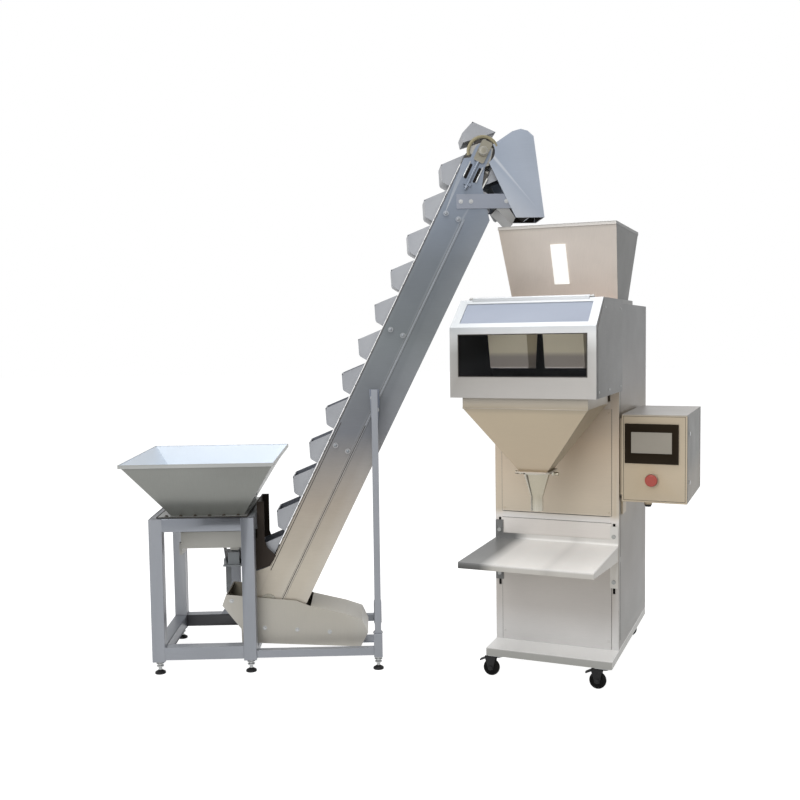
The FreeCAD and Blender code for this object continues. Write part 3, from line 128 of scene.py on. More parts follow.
class Finish:
    def __init__(self, name):
        self.material = bpy.data.materials.new(name)
        self.material.use_nodes = True
        self.tree = self.material.node_tree
        self.shader = self.tree.nodes["Principled BSDF"]

    def node(self, kind, settings=None, sockets=None, out=0):
        made = self.tree.nodes.new("ShaderNode" + kind)
        for key, value in (settings or {}).items():
            if key == "stops":
                ramp = made.color_ramp
                while len(ramp.elements) < len(value):
                    ramp.elements.new(1.0)
                for element, (place, shade) in zip(ramp.elements, value):
                    element.position = place
                    element.color = (*shade, 1.0) if len(shade) == 3 else shade
            else:
                setattr(made, key, value)
        for key, value in (sockets or {}).items():
            if isinstance(value, Wire):
                self.tree.links.new(value.out, made.inputs[key])
            else:
                made.inputs[key].default_value = value
        return Wire(self.tree, made.outputs[out])

    def coords(self, turn=(0, 0, 0), scale=(1, 1, 1)):
        source = self.node("TexCoord", out=3)
        return self.node("Mapping", {}, {"Vector": source, "Rotation": turn, "Scale": scale})

    def noise(self, vector, scale, detail=3.0, rough=0.5):
        return self.node("TexNoise", {}, {"Vector": vector, "Scale": scale, "Detail": detail, "Roughness": rough})

    def mixColour(self, factor, a, b):
        def full(c): return c if isinstance(c, Wire) or len(c) == 4 else (*c, 1.0)
        return self.node("Mix", {"data_type": "RGBA"}, {0: factor, 6: full(a), 7: full(b)}, out=2)

    def put(self, **sockets):
        names = {"colour": "Base Color", "rough": "Roughness", "metal": "Metallic", "coat": "Coat Weight",
                 "alpha": "Alpha", "normal": "Normal", "glow": "Emission Color", "glowLevel": "Emission Strength",
                 "ior": "IOR", "mirror": "Specular IOR Level"}
        for key, value in sockets.items():
            socket = self.shader.inputs[names[key]]
            if isinstance(value, Wire):
                self.tree.links.new(value.out, socket)
            elif hasattr(value, "__len__") and len(value) == 3:
                socket.default_value = (*value, 1.0)
            else:
                socket.default_value = value
        return self

    def bump(self, height, distance, strength=1.0):
        return self.node("Bump", {}, {"Height": height, "Distance": distance, "Strength": strength})


fillerTurn = (0, 0, math.radians(layout["fillerYaw"]))
fillerAcross = (Matrix.Rotation(fillerTurn[2], 3, "Z") @ fillerPoint(0, 0, 0)).x


def sheetMetal(name, stops, metal=0.4, rough=0.38, turn=(0, 0, 0), grain=(1, 1, 60), cloud=0.16, side=None,
               paintedLightSweep=None, glow=0.0, mirror=0.5, shadeFront=None):
    f = Finish(name)
    lines = f.noise(f.coords(turn, grain), 22.0, 4.0, 0.65)
    broad = f.noise(f.coords(turn, (1, 1, 1.6)), 1.9, 2.0)
    smudge = f.noise(f.coords(), 8.0, 5.0, 0.6)
    height = f.node("SeparateXYZ", {}, {"Vector": f.node("TexCoord", out=3)}, out=2)
    base = f.node("ValToRGB", {"stops": stops}, {0: height * 0.45})
    tone = lines * 0.25 + broad * 0.55 + smudge * 0.2
    veil = f.node("ValToRGB", {"stops": [(0.30, (1 - cloud * 2,) * 3), (0.5, (1 - cloud,) * 3), (0.70, (1, 1, 1))]},
                  {0: tone})
    shade = f.node("Mix", {"data_type": "RGBA", "blend_type": "MULTIPLY"}, {0: 1.0, 6: base, 7: veil}, out=2)
    across = f.node("SeparateXYZ", {}, {"Vector": f.coords(fillerTurn)}, out=0) - fillerAcross
    # painted shade: faces beyond the side line take the darker side tones and lose metal
    if side:
        at, tones, foot, lean, top = side
        limit = (height.math("MINIMUM", height, top) - foot) * lean + at
        sideShadeTones = f.node("ValToRGB", {"stops": tones}, {0: height * 0.45})
        sideShadeTones = f.node("Mix", {"data_type": "RGBA", "blend_type": "MULTIPLY"}, {0: 1.0, 6: sideShadeTones, 7: veil}, out=2)
        shadedSideMask = ((across - limit) * 3000.0).clamp()
        shade = f.mixColour(shadedSideMask, shade, sideShadeTones)
        metal = (1.0 - shadedSideMask) * metal
    # painted reflection and shade: a ramp over local x darkens parts of the surface
    if paintedLightSweep:
        sweptLight = f.node("ValToRGB", {"stops": paintedLightSweep}, {0: across + 0.5})
        shade = f.node("Mix", {"data_type": "RGBA", "blend_type": "MULTIPLY"}, {0: 1.0, 6: shade, 7: sweptLight}, out=2)
    if shadeFront:
        at, top, dark = shadeFront
        depth = f.node("SeparateXYZ", {}, {"Vector": f.node("TexCoord", out=3)}, out=1)
        strip = ((depth - (at - 0.0015)) * 2000.0).clamp() * ((at + 0.0015 - depth) * 2000.0).clamp()
        shade = f.mixColour(strip * ((top - height) * 2000.0).clamp(), shade, dark)
    # painted light: the surface glows in its own colour
    if glow:
        f.put(glow=shade, glowLevel=glow)
    edge = ((f.node("NewGeometry", out=7) - 0.53) * 8.0).clamp()
    shade = f.mixColour(edge * 0.35, shade, (0.75, 0.76, 0.77))
    roughness = rough + (lines - 0.5) * 0.16 + (smudge - 0.5) * 0.16
    f.put(colour=shade, metal=metal, rough=roughness.clamp(), normal=f.bump(lines, 0.0001, 0.18), mirror=mirror)
    return f.material


def flat(colour): return [(0.0, colour), (1.0, colour)]


def byHeight(*tones): return [(z * 0.45, shade) for z, shade in tones]


# Side entry for sheetMetal: painted shade on the faces beyond local x, split by an upright line
def upright(x, tones): return (x / 1000, tones, 0.0, 0.0, 9.0)


def painted(name, colour, rough=0.42, metal=0.0, peel=0.0003, stain=0.10, mirror=0.5, glow=None):
    f = Finish(name)
    orange = f.noise(f.coords(), 340.0, 2.0)
    dirt = f.noise(f.coords(), 7.0, 6.0, 0.62)
    dark = tuple(c * (1 - stain * 2) for c in colour)
    light = tuple(min(1.0, c * (1 + stain)) for c in colour)
    shade = f.node("ValToRGB", {"stops": [(0.34, dark), (0.52, colour), (0.68, light)]}, {0: dirt})
    edge = ((f.node("NewGeometry", out=7) - 0.54) * 8.0).clamp()
    shade = f.mixColour(edge * 0.25, shade, tuple(min(1.0, c * 1.5 + 0.04) for c in colour))
    f.put(colour=shade, metal=metal, rough=(rough + (dirt - 0.5) * 0.22).clamp(), mirror=mirror,
          normal=f.bump(orange, peel, 0.2))
    if glow:
        f.put(glow=colour, glowLevel=glow)
    return f.material


def clearPane(name, low, high, split):
    f = Finish(name)
    film = f.noise(f.coords((0, 0, 0), (1, 1, 3)), 4.0, 4.0)
    height = f.node("SeparateXYZ", {}, {"Vector": f.node("TexCoord", out=3)}, out=2)
    upper = ((height - split) * 200.0).clamp()
    tint = f.mixColour(upper, low, high)
    f.put(colour=f.mixColour(film * 0.25, tint, (0.62, 0.66, 0.74)), rough=0.06 + film * 0.08,
          alpha=(0.03 + film * 0.04 + upper * 0.80).clamp(), ior=1.12)
    f.material.surface_render_method = "BLENDED"
    return f.material


runTurn = (0, math.radians(layout["incline"]), 0)
# Casing colour by height with painted reflection: warm low down, dark and blue-grey higher up
casingReflectionTones = byHeight((0.0, (0.54, 0.49, 0.41)), (0.40, (0.58, 0.525, 0.435)), (0.64, (0.47, 0.41, 0.34)),
                       (0.93, (0.19, 0.20, 0.222)), (1.30, (0.18, 0.20, 0.212)), (1.60, (0.152, 0.172, 0.195)),
                       (2.07, (0.28, 0.33, 0.42)))
# Column colour by height with painted light and reflection in its bright and warm bands
columnLightTones = byHeight((0.10, (0.75, 0.74, 0.73)), (0.16, (0.74, 0.72, 0.70)), (0.26, (0.61, 0.57, 0.53)),
                       (0.44, (0.60, 0.55, 0.49)), (0.54, (0.92, 0.87, 0.82)), (0.61, (0.92, 0.87, 0.82)),
                       (0.63, (0.66, 0.565, 0.43)), (0.90, (0.72, 0.575, 0.415)), (1.45, (0.60, 0.56, 0.51)))
# painted shade on the column's right side
columnShadedSide = upright(239.6, byHeight((0.10, (0.47, 0.44, 0.41)), (0.17, (0.34, 0.33, 0.30)),
                                     (0.32, (0.34, 0.31, 0.28)), (0.56, (0.27, 0.235, 0.19)),
                                     (0.68, (0.42, 0.355, 0.26)), (0.92, (0.50, 0.41, 0.28)),
                                     (1.12, (0.28, 0.256, 0.24)), (1.30, (0.17, 0.17, 0.168)),
                                     (1.45, (0.16, 0.165, 0.17))))
# painted shade on the head case and cover right sides, near black
headShadedSide = upright(251.6, byHeight((1.10, (0.040, 0.037, 0.028)), (1.45, (0.030, 0.030, 0.027))))
# Cover colour by height with painted light: lighter towards the top
coverLightTones = byHeight((1.09, (0.44, 0.41, 0.375)), (1.17, (0.46, 0.435, 0.405)), (1.25, (0.46, 0.45, 0.43)),
                      (1.31, (0.74, 0.745, 0.74)), (1.335, (0.66, 0.68, 0.70)))
funnelTones = byHeight((0.84, (0.56, 0.46, 0.33)), (1.04, (0.54, 0.45, 0.32)), (1.055, (0.43, 0.365, 0.27)),
                       (1.09, (0.40, 0.345, 0.26)))
# Tray colour by height with a painted highlight on the thin bright lip band
trayLightTones = byHeight((0.40, (0.60, 0.57, 0.52)), (0.519, (0.46, 0.44, 0.40)), (0.5195, (0.92, 0.90, 0.87)),
                     (0.5225, (0.92, 0.90, 0.87)), (0.524, (0.62, 0.60, 0.565)), (0.60, (0.60, 0.58, 0.54)))
# painted reflection across the tray: dark on the left, a faint dark smear near the spout
trayLightSweep = [(0.27, (0.09, 0.093, 0.093)), (0.34, (0.13, 0.133, 0.133)), (0.39, (0.85, 0.85, 0.85)),
             (0.46, (1, 1, 1)), (0.55, (1, 1, 1)), (0.58, (0.86, 0.86, 0.86)), (0.62, (1, 1, 1))]
# Base tray colour by height with painted light: dark front face, near-white top
baseLightTones = byHeight((0.087, (0.23, 0.228, 0.21)), (0.1165, (0.25, 0.247, 0.23)), (0.1169, (0.95, 0.94, 0.93)))
# Control box colour by height with a painted warm reflection on the front and a grey top
boxReflectionTones = byHeight((0.69, (0.56, 0.455, 0.31)), (1.01, (0.55, 0.45, 0.31)), (1.0125, (0.34, 0.345, 0.365)))
hopperTones = byHeight((1.44, (0.90, 0.80, 0.73)), (1.709, (0.88, 0.80, 0.73)), (1.7125, (0.48, 0.45, 0.41)))
finishes = {
    "stand_paint": sheetMetal("standTube", flat((0.27, 0.288, 0.325)), 0.30, 0.40, (0, 0, 0), (30, 30, 2), 0.12,
                              shadeFront=(liftPoint(0, 450, 0).y, 0.109, (0.025, 0.025, 0.030))),
    "lift_sheet": sheetMetal("liftSheet", flat((0.28, 0.30, 0.325)), 0.35, 0.36, runTurn, (1, 1, 50), 0.16),
    # painted light by height and painted shade on the right side
    "filler_sheet": sheetMetal("fillerSheet", columnLightTones, 0.25, 0.34, fillerTurn, (1, 1, 50), 0.12, columnShadedSide,
                               mirror=0.1),
    "polished": sheetMetal("spoutSteel", flat((0.42, 0.385, 0.30)), 0.85, 0.14, (0, 0, 0), (1, 1, 30), 0.2),
    "dark_metal": painted("darkGuard", (0.06, 0.048, 0.036), 0.45, 0.3),
    "machined": sheetMetal("machinedSteel", flat((0.33, 0.31, 0.25)), 0.7, 0.33, (0, 0, 0), (40, 1, 40), 0.2),
    "chain_steel": painted("chainSteel", (0.06, 0.055, 0.05), 0.38, 0.6, 0.0005, 0.3),
    "motor_paint": painted("motorPaint", (0.20, 0.215, 0.225), 0.45, 0.0, 0.0005, 0.12),
    "black_plastic": painted("blackPlastic", (0.016, 0.016, 0.017), 0.5, 0.0, 0.0004, 0.15, 0.2),
    "wear_plastic": painted("wearPlastic", (0.70, 0.70, 0.64), 0.5, 0.0, 0.0003, 0.06),
    # painted reflection on the front and painted shade on the right side, near black at the top
    "box_grey": sheetMetal("boxSheet", boxReflectionTones, 0.25, 0.34, fillerTurn, (1, 1, 45), 0.12,
                           upright(485.6, byHeight((0.69, (0.20, 0.165, 0.10)), (0.77, (0.20, 0.155, 0.095)),
                                                   (0.85, (0.030, 0.027, 0.012)), (1.01, (0.045, 0.042, 0.025)))),
                           mirror=0.1),
    "caster_tread": painted("casterTread", (0.010, 0.010, 0.010), 0.7, 0.0, 0.0008, 0.2, 0.08),
    "zinc": sheetMetal("zincPlate", flat((0.46, 0.47, 0.47)), 0.75, 0.30, (0, 0, 0), (12, 12, 12), 0.16),
    "clear_pane": clearPane("clearPane", (0.03, 0.03, 0.027), (0.38, 0.42, 0.51), 1.325),
    # painted light: the black panel glows faintly
    "panel_black": painted("panelBlack", (0.020, 0.014, 0.008), 0.5, 0.0, 0.0002, 0.1, 0.04, 0.05),
    # painted light: the red stop button glows
    "stop_red": painted("stopRed", (0.33, 0.055, 0.040), 0.28, 0.0, 0.0002, 0.08, 0.4, 0.25),
    # painted reflection by height on the casing
    "casing": sheetMetal("casingSheet", casingReflectionTones, 0.30, 0.36, runTurn, (1, 1, 40), 0.14),
    "hopper": sheetMetal("hopperSheet", flat((0.305, 0.312, 0.29)), 0.30, 0.36, (0, 0, 0), (50, 1, 1), 0.16),
    # painted light and reflection: a bright blue-grey copy of the hopper sheet for its inside and rim hems
    "hopperPaintedLightInside": sheetMetal("hopperPaintedLightInsideSheet", flat((0.60, 0.69, 0.80)), 0.20, 0.40, (0, 0, 0), (50, 1, 1),
                               0.08),
    "hood": sheetMetal("hoodSheet", flat((0.36, 0.41, 0.495)), 0.25, 0.42, (0, 0, 0), (1, 1, 40), 0.12),
    "strap": sheetMetal("strapSheet", flat((0.21, 0.235, 0.295)), 0.30, 0.38, runTurn, (1, 1, 40), 0.12),
    "chute": sheetMetal("chuteSheet", flat((0.12, 0.118, 0.105)), 0.30, 0.40, (0, 0, 0), (1, 1, 40), 0.2),
    "bucket": sheetMetal("bucketSheet", flat((0.20, 0.214, 0.25)), 0.30, 0.38, runTurn, (1, 40, 1), 0.18),
    "boot": sheetMetal("bootSheet", flat((0.47, 0.43, 0.345)), 0.30, 0.38, (0, 0, 0), (40, 1, 1), 0.16),
    "feeder": sheetMetal("feederSheet", flat((0.34, 0.325, 0.27)), 0.30, 0.38, (0, 0, 0), (1, 30, 1), 0.16),
    # painted light and shade on the cover: lighter top, near-black right side, darker to the left
    "cover": sheetMetal("coverSheet", coverLightTones, 0.25, 0.34, fillerTurn, (1, 1, 45), 0.10, headShadedSide,
                        [(0.25, (0.78, 0.79, 0.79)), (0.42, (0.95, 0.95, 0.95)), (0.60, (1, 1, 1))], mirror=0.1),
    # painted shade on the head case's right side
    "headCase": sheetMetal("headCaseSheet", flat((0.50, 0.50, 0.48)), 0.25, 0.34, fillerTurn, (1, 1, 45), 0.10,
                           headShadedSide, mirror=0.1),
    # painted shade on the funnel's right part
    "funnel": sheetMetal("funnelSheet", funnelTones, 0.20, 0.34, fillerTurn, (1, 1, 30), 0.07,
                         (0.0495, flat((0.33, 0.27, 0.18)), 0.831, 0.7336, 1.060)),
    # painted shade on the upper hopper's right side; painted reflection and shade, darker to the left
    "upperHopper": sheetMetal("upperHopperSheet", hopperTones, 0.15, 0.36, fillerTurn, (45, 1, 1), 0.12,
                              (0.2075, flat((0.20, 0.202, 0.196)), 1.440, 0.0667, 9.0),
                              [(0.26, (0.76, 0.74, 0.71)), (0.38, (0.95, 0.95, 0.94)), (0.45, (1, 1, 1))],
                              mirror=0.1),
    # painted light: the shelf glows, with painted reflection and highlight from its tones and sweep
    "shelf": sheetMetal("shelfSheet", trayLightTones, 0.05, 0.34, fillerTurn, (1, 45, 1), 0.08, None, trayLightSweep, 0.27,
                        0.05),
    # painted light: the base tray glows
    "baseFloor": sheetMetal("baseSheet", baseLightTones, 0.15, 0.34, fillerTurn, (1, 45, 1), 0.08, None, None, 0.45, 0.2),
    # painted light: the weigh buckets glow
    "weigh": sheetMetal("weighSheet", byHeight((1.19, (0.42, 0.37, 0.33)), (1.235, (0.45, 0.40, 0.35)),
                                               (1.250, (0.88, 0.80, 0.60)), (1.32, (0.85, 0.76, 0.55))),
                        0.2, 0.40, fillerTurn, (1, 45, 1), 0.12, None, None, 0.12),
    "forkSteel": painted("forkSteel", (0.022, 0.022, 0.023), 0.5, 0.2, 0.0004, 0.15, 0.2),
    # painted light: the sight window strip glows
    "opal": painted("opalStrip", (0.95, 0.95, 0.92), 0.4, 0.0, 0.0002, 0.02, 0.5, 0.42),
    # painted shade: near-black sheets in slots, vents, the hood mouth and inside the head case
    "paintedShade": painted("paintedShade", (0.010, 0.009, 0.008), 0.8, 0.0, 0.0003, 0.1, 0.1),
    # dark joints and seals, and painted shade lines in seams, folds and along the rib
    "jointAndShadeDark": painted("jointAndShadeDark", (0.055, 0.05, 0.045), 0.7, 0.0, 0.0003, 0.1, 0.3),
    "guard": painted("guardSheet", (0.035, 0.026, 0.020), 0.55, 0.0, 0.0003, 0.2, 0.12),
    "khaki": painted("khakiGuard", (0.25, 0.22, 0.13), 0.45, 0.2),
    "screen": painted("screenGlass", (0.24, 0.22, 0.185), 0.2, 0.0, 0.0001, 0.05, 0.3, 0.3),
}
nodeFinish = {
    "side_plates": "casing", "feed_hopper": "hopper", "discharge_hood": "hood", "up_buckets": "bucket",
    "down_buckets": "bucket", "boot": "boot", "window_cover": "cover", "head_case": "headCase",
    "weigh_buckets": "weigh", "flap_left": "weigh", "flap_right": "weigh", "funnel": "funnel",
    "top_hopper": "upperHopper", "bag_tray": "shelf", "base_tray": "baseFloor", "sight_window": "opal",
    "stop_collar": "box_grey", "tie_rods": "casing", "takeup_screws": "casing", "spill_chute": "chute",
    "feeder_tray": "feeder", "tray_bolts": "hopper", "inlet_guard": "guard",
    "caster_fork_front_left": "forkSteel", "caster_fork_front_right": "forkSteel",
    "caster_fork_rear_left": "forkSteel", "caster_fork_rear_right": "forkSteel",
}


def dressNodes():
    slots = {part["node"]: part["material_slot"] for part in frame["record"]["subparts"]}
    for name, node in frame["nodes"].items():
        node.data.materials.clear()
        node.data.materials.append(finishes[nodeFinish.get(name, slots[name])])


dressNodes()
print("stage: finishes")


def clearPick():
    if bpy.context.object and bpy.context.object.mode != "OBJECT":
        bpy.ops.object.mode_set(mode="OBJECT")
    bpy.ops.object.select_all(action="DESELECT")


def startPiece(kind, name, **how):
    clearPick()
    getattr(bpy.ops.mesh, "primitive_" + kind + "_add")(**how)
    piece = bpy.context.object
    piece.name = name
    bpy.ops.object.transform_apply(location=True, rotation=True, scale=True)
    return piece


def pickFaces(piece, test):
    bpy.ops.object.mode_set(mode="EDIT")
    bpy.ops.mesh.select_mode(type="FACE")
    bpy.ops.mesh.select_all(action="DESELECT")
    bpy.ops.object.mode_set(mode="OBJECT")
    for face in piece.data.polygons:
        face.select = test(face.center, face.normal)
    bpy.ops.object.mode_set(mode="EDIT")


def pickVerts(piece, test):
    bpy.ops.object.mode_set(mode="EDIT")
    bpy.ops.mesh.select_mode(type="VERT")
    bpy.ops.mesh.select_all(action="DESELECT")
    bpy.ops.object.mode_set(mode="OBJECT")
    for vertex in piece.data.vertices:
        vertex.select = test(vertex.co)
    bpy.ops.object.mode_set(mode="EDIT")


def addModifier(piece, kind, **values):
    modifier = piece.modifiers.new(kind.title(), kind)
    for key, value in values.items():
        setattr(modifier, key, value)
    bpy.context.view_layer.objects.active = piece
    bpy.ops.object.modifier_apply(modifier=modifier.name)


def softEdges(piece, width, segments=2, angle=40):
    addModifier(piece, "BEVEL", width=width, segments=segments, limit_method="ANGLE", angle_limit=math.radians(angle))


def smooth(piece, angle=35):
    clearPick()
    piece.select_set(True)
    bpy.context.view_layer.objects.active = piece
    bpy.ops.object.shade_smooth_by_angle(angle=math.radians(angle))


def scatter(master, name, places, keep=False):
    mesh = bpy.data.meshes.new(name)
    whole = bmesh.new()
    for place in places:
        copy = master.data.copy()
        copy.transform(place)
        whole.from_mesh(copy)
        bpy.data.meshes.remove(copy)
    bmesh.ops.recalc_face_normals(whole, faces=whole.faces)
    whole.to_mesh(mesh)
    whole.free()
    piece = bpy.data.objects.new(name, mesh)
    bpy.context.scene.collection.objects.link(piece)
    smooth(piece)
    if not keep:
        bpy.data.objects.remove(master)
    return piece


def fit(piece, finish, body="machine", stands=()):
    piece.data.materials.clear()
    piece.data.materials.append(finishes[finish])
    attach(piece, body)
    if stands:
        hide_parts(*stands)
    return piece


def facing(direction, origin, spin=0.0):
    turn = Vector(direction).to_track_quat("Z", "Y").to_matrix().to_4x4()
    return Matrix.Translation(origin) @ turn @ Matrix.Rotation(spin, 4, "Z")


def boltMaster(radius, height, washer=1.55):
    bolt = startPiece("cylinder", "boltMaster", vertices=6, radius=radius, depth=height,
                      location=(0, 0, height / 2 + 0.001))
    softEdges(bolt, radius * 0.12, 1)
    plate = startPiece("cylinder", "washerMaster", vertices=20, radius=radius * washer, depth=0.0012,
                       location=(0, 0, 0.0006))
    clearPick()
    bolt.select_set(True)
    plate.select_set(True)
    bpy.context.view_layer.objects.active = bolt
    bpy.ops.object.join()
    return bolt


def fillerAxis(x, y, z):
    a = math.radians(layout["fillerYaw"])
    return Vector((x * math.cos(a) + y * math.sin(a), -x * math.sin(a) + y * math.cos(a), z))


def fillerFrame(x=0.0, y=0.0, z=0.0):
    return Matrix.Translation(fillerPoint(x, y, z)) @ Matrix.Rotation(-math.radians(layout["fillerYaw"]), 4, "Z")


def runFrame(s, n, y, turn=0.0):
    a = math.radians(layout["incline"] - turn)
    return Matrix.Translation(runPoint(s, n, y)) @ Matrix.Rotation(-a, 4, "Y")


def wrapFrame(s, turn, y):
    centre = Matrix.Translation(runPoint(s, 0, y)) @ Matrix.Rotation(-math.radians(layout["incline"] - turn), 4, "Y")
    return centre @ Matrix.Translation((0, 0, layout["pitch"] / 1000))


chainSet = {"plateRadius": 0.0066, "plateThick": 0.0018, "pinRadius": 0.0032, "rollerRadius": 0.0078,
            "width": 0.012, "strands": (120.5, 289.5), "links": 39, "linkTurn": 60.0, "wrapRollers": 4}


def linkPlate():
    c = chainSet
    pitch = layout["pitch"] / 1000
    plate = startPiece("circle", "linkPlate", vertices=16, radius=c["plateRadius"], fill_type="NGON",
                       rotation=(math.pi / 2, 0, 0))
    pickVerts(plate, lambda p: p.x > 0.0001)
    bpy.ops.transform.translate(value=(pitch, 0, 0))
    bpy.ops.object.mode_set(mode="OBJECT")
    addModifier(plate, "SOLIDIFY", thickness=c["plateThick"], offset=0)
    return plate


def chainPins():
    c = chainSet
    roller = startPiece("cylinder", "rollerMaster", vertices=12, radius=c["rollerRadius"], depth=0.0062,
                        rotation=(math.pi / 2, 0, 0))
    pin = startPiece("cylinder", "pinMaster", vertices=10, radius=c["pinRadius"], depth=c["width"] + 0.0008,
                     rotation=(math.pi / 2, 0, 0))
    clearPick()
    roller.select_set(True)
    pin.select_set(True)
    bpy.context.view_layer.objects.active = roller
    bpy.ops.object.join()
    return roller


def linkYs(index, strandY):
    half = chainSet["width"] / 2 * 1000
    inset = 0.9 if index % 2 else 2.9
    return strandY - half + inset, strandY + half - inset


def buildChains():
    plate, pins = linkPlate(), chainPins()
    pitch, phase = layout["pitch"], layout["phase"]
    lead = chainSet["linkTurn"] * phase / pitch
    for name, node, body, base, sign in (
            ("upChainLinks", "up_chain", "up_run", phase, 1),
            ("downChainLinks", "down_chain", "down_run", layout["runLength"] - phase, -1)):
        plates, rollers = [], []
        for strandY in chainSet["strands"]:
            for i in range(1, chainSet["links"]):
                s = base + sign * i * pitch
                turn = 0.0 if sign > 0 else 180.0
                if i < chainSet["links"] - 1:
                    for y in linkYs(i, strandY):
                        plates.append(runFrame(s, sign * pitch, y, turn))
                rollers.append(runFrame(s, sign * pitch, strandY, turn))
        links = scatter(plate, name, plates, keep=True)
        lugs = scatter(pins, name + "Pins", rollers, keep=True)
        fit(links, "chain_steel", body, (node,))
        fit(lugs, "machined", body)
    for name, node, body, s, start in (("headChainLinks", "head_links", "head_rotor", layout["runLength"], lead),
                                       ("tailChainLinks", "tail_links", "tail_rotor", 0.0, lead + 180.0)):
        plates, rollers = [], []
        for strandY in chainSet["strands"]:
            for i in range(chainSet["wrapRollers"]):
                turn = start + chainSet["linkTurn"] * i
                rollers.append(wrapFrame(s, turn, strandY))
                if i < chainSet["wrapRollers"] - 1:
                    lean = Matrix.Rotation(math.radians(chainSet["linkTurn"] / 2), 4, "Y")
                    for y in linkYs(i, strandY):
                        plates.append(wrapFrame(s, turn, y) @ lean)
        fit(scatter(plate, name, plates, keep=True), "chain_steel", body, (node,))
        fit(scatter(pins, name + "Pins", rollers, keep=True), "machined", body)
        bucket = pickBucket(node, name.replace("ChainLinks", "Bucket"))
        fit(bucket, "bucket", body)
    bpy.data.objects.remove(plate)
    bpy.data.objects.remove(pins)


def pickBucket(node, name):
    source = frame["nodes"][node]
    copy = bpy.data.objects.new(name, source.data.copy())
    bpy.context.scene.collection.objects.link(copy)
    clearPick()
    copy.select_set(True)
    bpy.context.view_layer.objects.active = copy
    bpy.ops.object.mode_set(mode="EDIT")
    bpy.ops.mesh.select_all(action="SELECT")
    bpy.ops.mesh.remove_doubles(threshold=0.00001)
    bpy.ops.mesh.select_all(action="DESELECT")
    bpy.ops.object.mode_set(mode="OBJECT")
    middle = runPoint(0, 0, layout["middle"]).y
    mesh = bmesh.new()
    mesh.from_mesh(copy.data)
    mesh.verts.ensure_lookup_table()
    groups, seen = [], set()
    for vertex in mesh.verts:
        if vertex.index in seen:
            continue
        group, queue = [], [vertex]
        seen.add(vertex.index)
        while queue:
            now = queue.pop()
            group.append(now)
            for edge in now.link_edges:
                other = edge.other_vert(now)
                if other.index not in seen:
                    seen.add(other.index)
                    queue.append(other)
        groups.append(group)
    strands = [g for g in groups if not min(v.co.y for v in g) < middle < max(v.co.y for v in g)]
    bmesh.ops.delete(mesh, geom=[v for g in strands for v in g], context="VERTS")
    mesh.to_mesh(copy.data)
    mesh.free()
    return copy


buildChains()
print("stage: chain")


bucketSet = {"bead": 0.0024, "tip": 76.0, "beadDrop": 2.8, "seat": 10.0, "first": 25.4, "step": 152.4, "count": 13,
             "near": 130.0, "far": 280.0}


def bucketBead():
    b = bucketSet
    length = (b["far"] - b["near"]) / 1000
    bead = startPiece("cylinder", "bead", vertices=10, radius=b["bead"], depth=length, rotation=(math.pi / 2, 0, 0),
                      location=(0, 0, (b["tip"] - b["beadDrop"]) / 1000))
    boltPair = []
    bolt = boltMaster(0.0045, 0.0035)
    for y in (-0.066, 0.066):
        for x in (-0.012, 0.02):
            boltPair.append(Matrix.Translation((x, y, (b["seat"] + 2) / 1000)))
    bolts = scatter(bolt, "bucketBolts", boltPair)
    clearPick()
    bead.select_set(True)
    bolts.select_set(True)
    bpy.context.view_layer.objects.active = bead
    bpy.ops.object.join()
    return bead


def buildBucketTrim():
    b = bucketSet
    bead = bucketBead()
    phase = layout["phase"]
    middle, end = layout["middle"], layout["runLength"]
    up = [runFrame(phase + b["first"] + i * b["step"], layout["pitch"], middle) for i in range(b["count"])]
    down = [runFrame(end - phase - b["first"] - i * b["step"], -layout["pitch"], middle, 180)
            for i in range(b["count"])]
    turn = chainSet["linkTurn"] / 2 + chainSet["linkTurn"] * phase / layout["pitch"]
    fit(scatter(bead, "upBucketTrim", up, keep=True), "bucket", "up_run")
    fit(scatter(bead, "downBucketTrim", down, keep=True), "bucket", "down_run")
    fit(scatter(bead, "headBucketTrim", [wrapFrame(end, turn, middle)], keep=True), "bucket", "head_rotor")
    fit(scatter(bead, "tailBucketTrim", [wrapFrame(0.0, turn + 180, middle)]), "bucket", "tail_rotor")


buildBucketTrim()
print("stage: buckets")


def bar(name, size, soft=0.0006, segments=2):
    piece = startPiece("cube", name, size=1.0, scale=size)
    softEdges(piece, min(soft, min(size) * 0.3), segments)
    return piece


def slotPlate(name, radius, length, thick, upright=True):
    plate = startPiece("circle", name, vertices=20, radius=radius, fill_type="NGON", rotation=(math.pi / 2, 0, 0))
    if upright:
        pickVerts(plate, lambda p: p.z > 0.0001)
        bpy.ops.transform.translate(value=(0, 0, length))
    else:
        pickVerts(plate, lambda p: p.x > 0.0001)
        bpy.ops.transform.translate(value=(length, 0, 0))
    bpy.ops.object.mode_set(mode="OBJECT")
    addModifier(plate, "SOLIDIFY", thickness=thick, offset=0)
    return plate


def turned(name, profile, segments=28, ring=False):
    r0, z0 = profile[0]
    piece = startPiece("circle", name, vertices=segments, radius=r0, fill_type="NOTHING" if ring else "NGON",
                       location=(0, 0, z0))
    bpy.ops.object.mode_set(mode="EDIT")
    bpy.ops.mesh.select_all(action="SELECT")
    path = profile + (profile[:1] if ring else [])
    for (ra, za), (rb, zb) in zip(path, path[1:]):
        bpy.ops.mesh.extrude_region_move(TRANSFORM_OT_translate={"value": (0, 0, zb - za)})
        bpy.ops.transform.resize(value=(rb / ra, rb / ra, 1), center_override=(0, 0, zb))
    bpy.ops.mesh.select_all(action="SELECT")
    bpy.ops.mesh.remove_doubles(threshold=0.000005)
    bpy.ops.mesh.normals_make_consistent(inside=False)
    bpy.ops.object.mode_set(mode="OBJECT")
    return piece


def onNear(x, y, z, spin=0.0):
    return facing((0, -1, 0), liftPoint(x, y, z), spin)


def onFront(x, y, z, spin=0.0):
    return facing(fillerAxis(0, -1, 0), fillerPoint(x, y, z), spin)


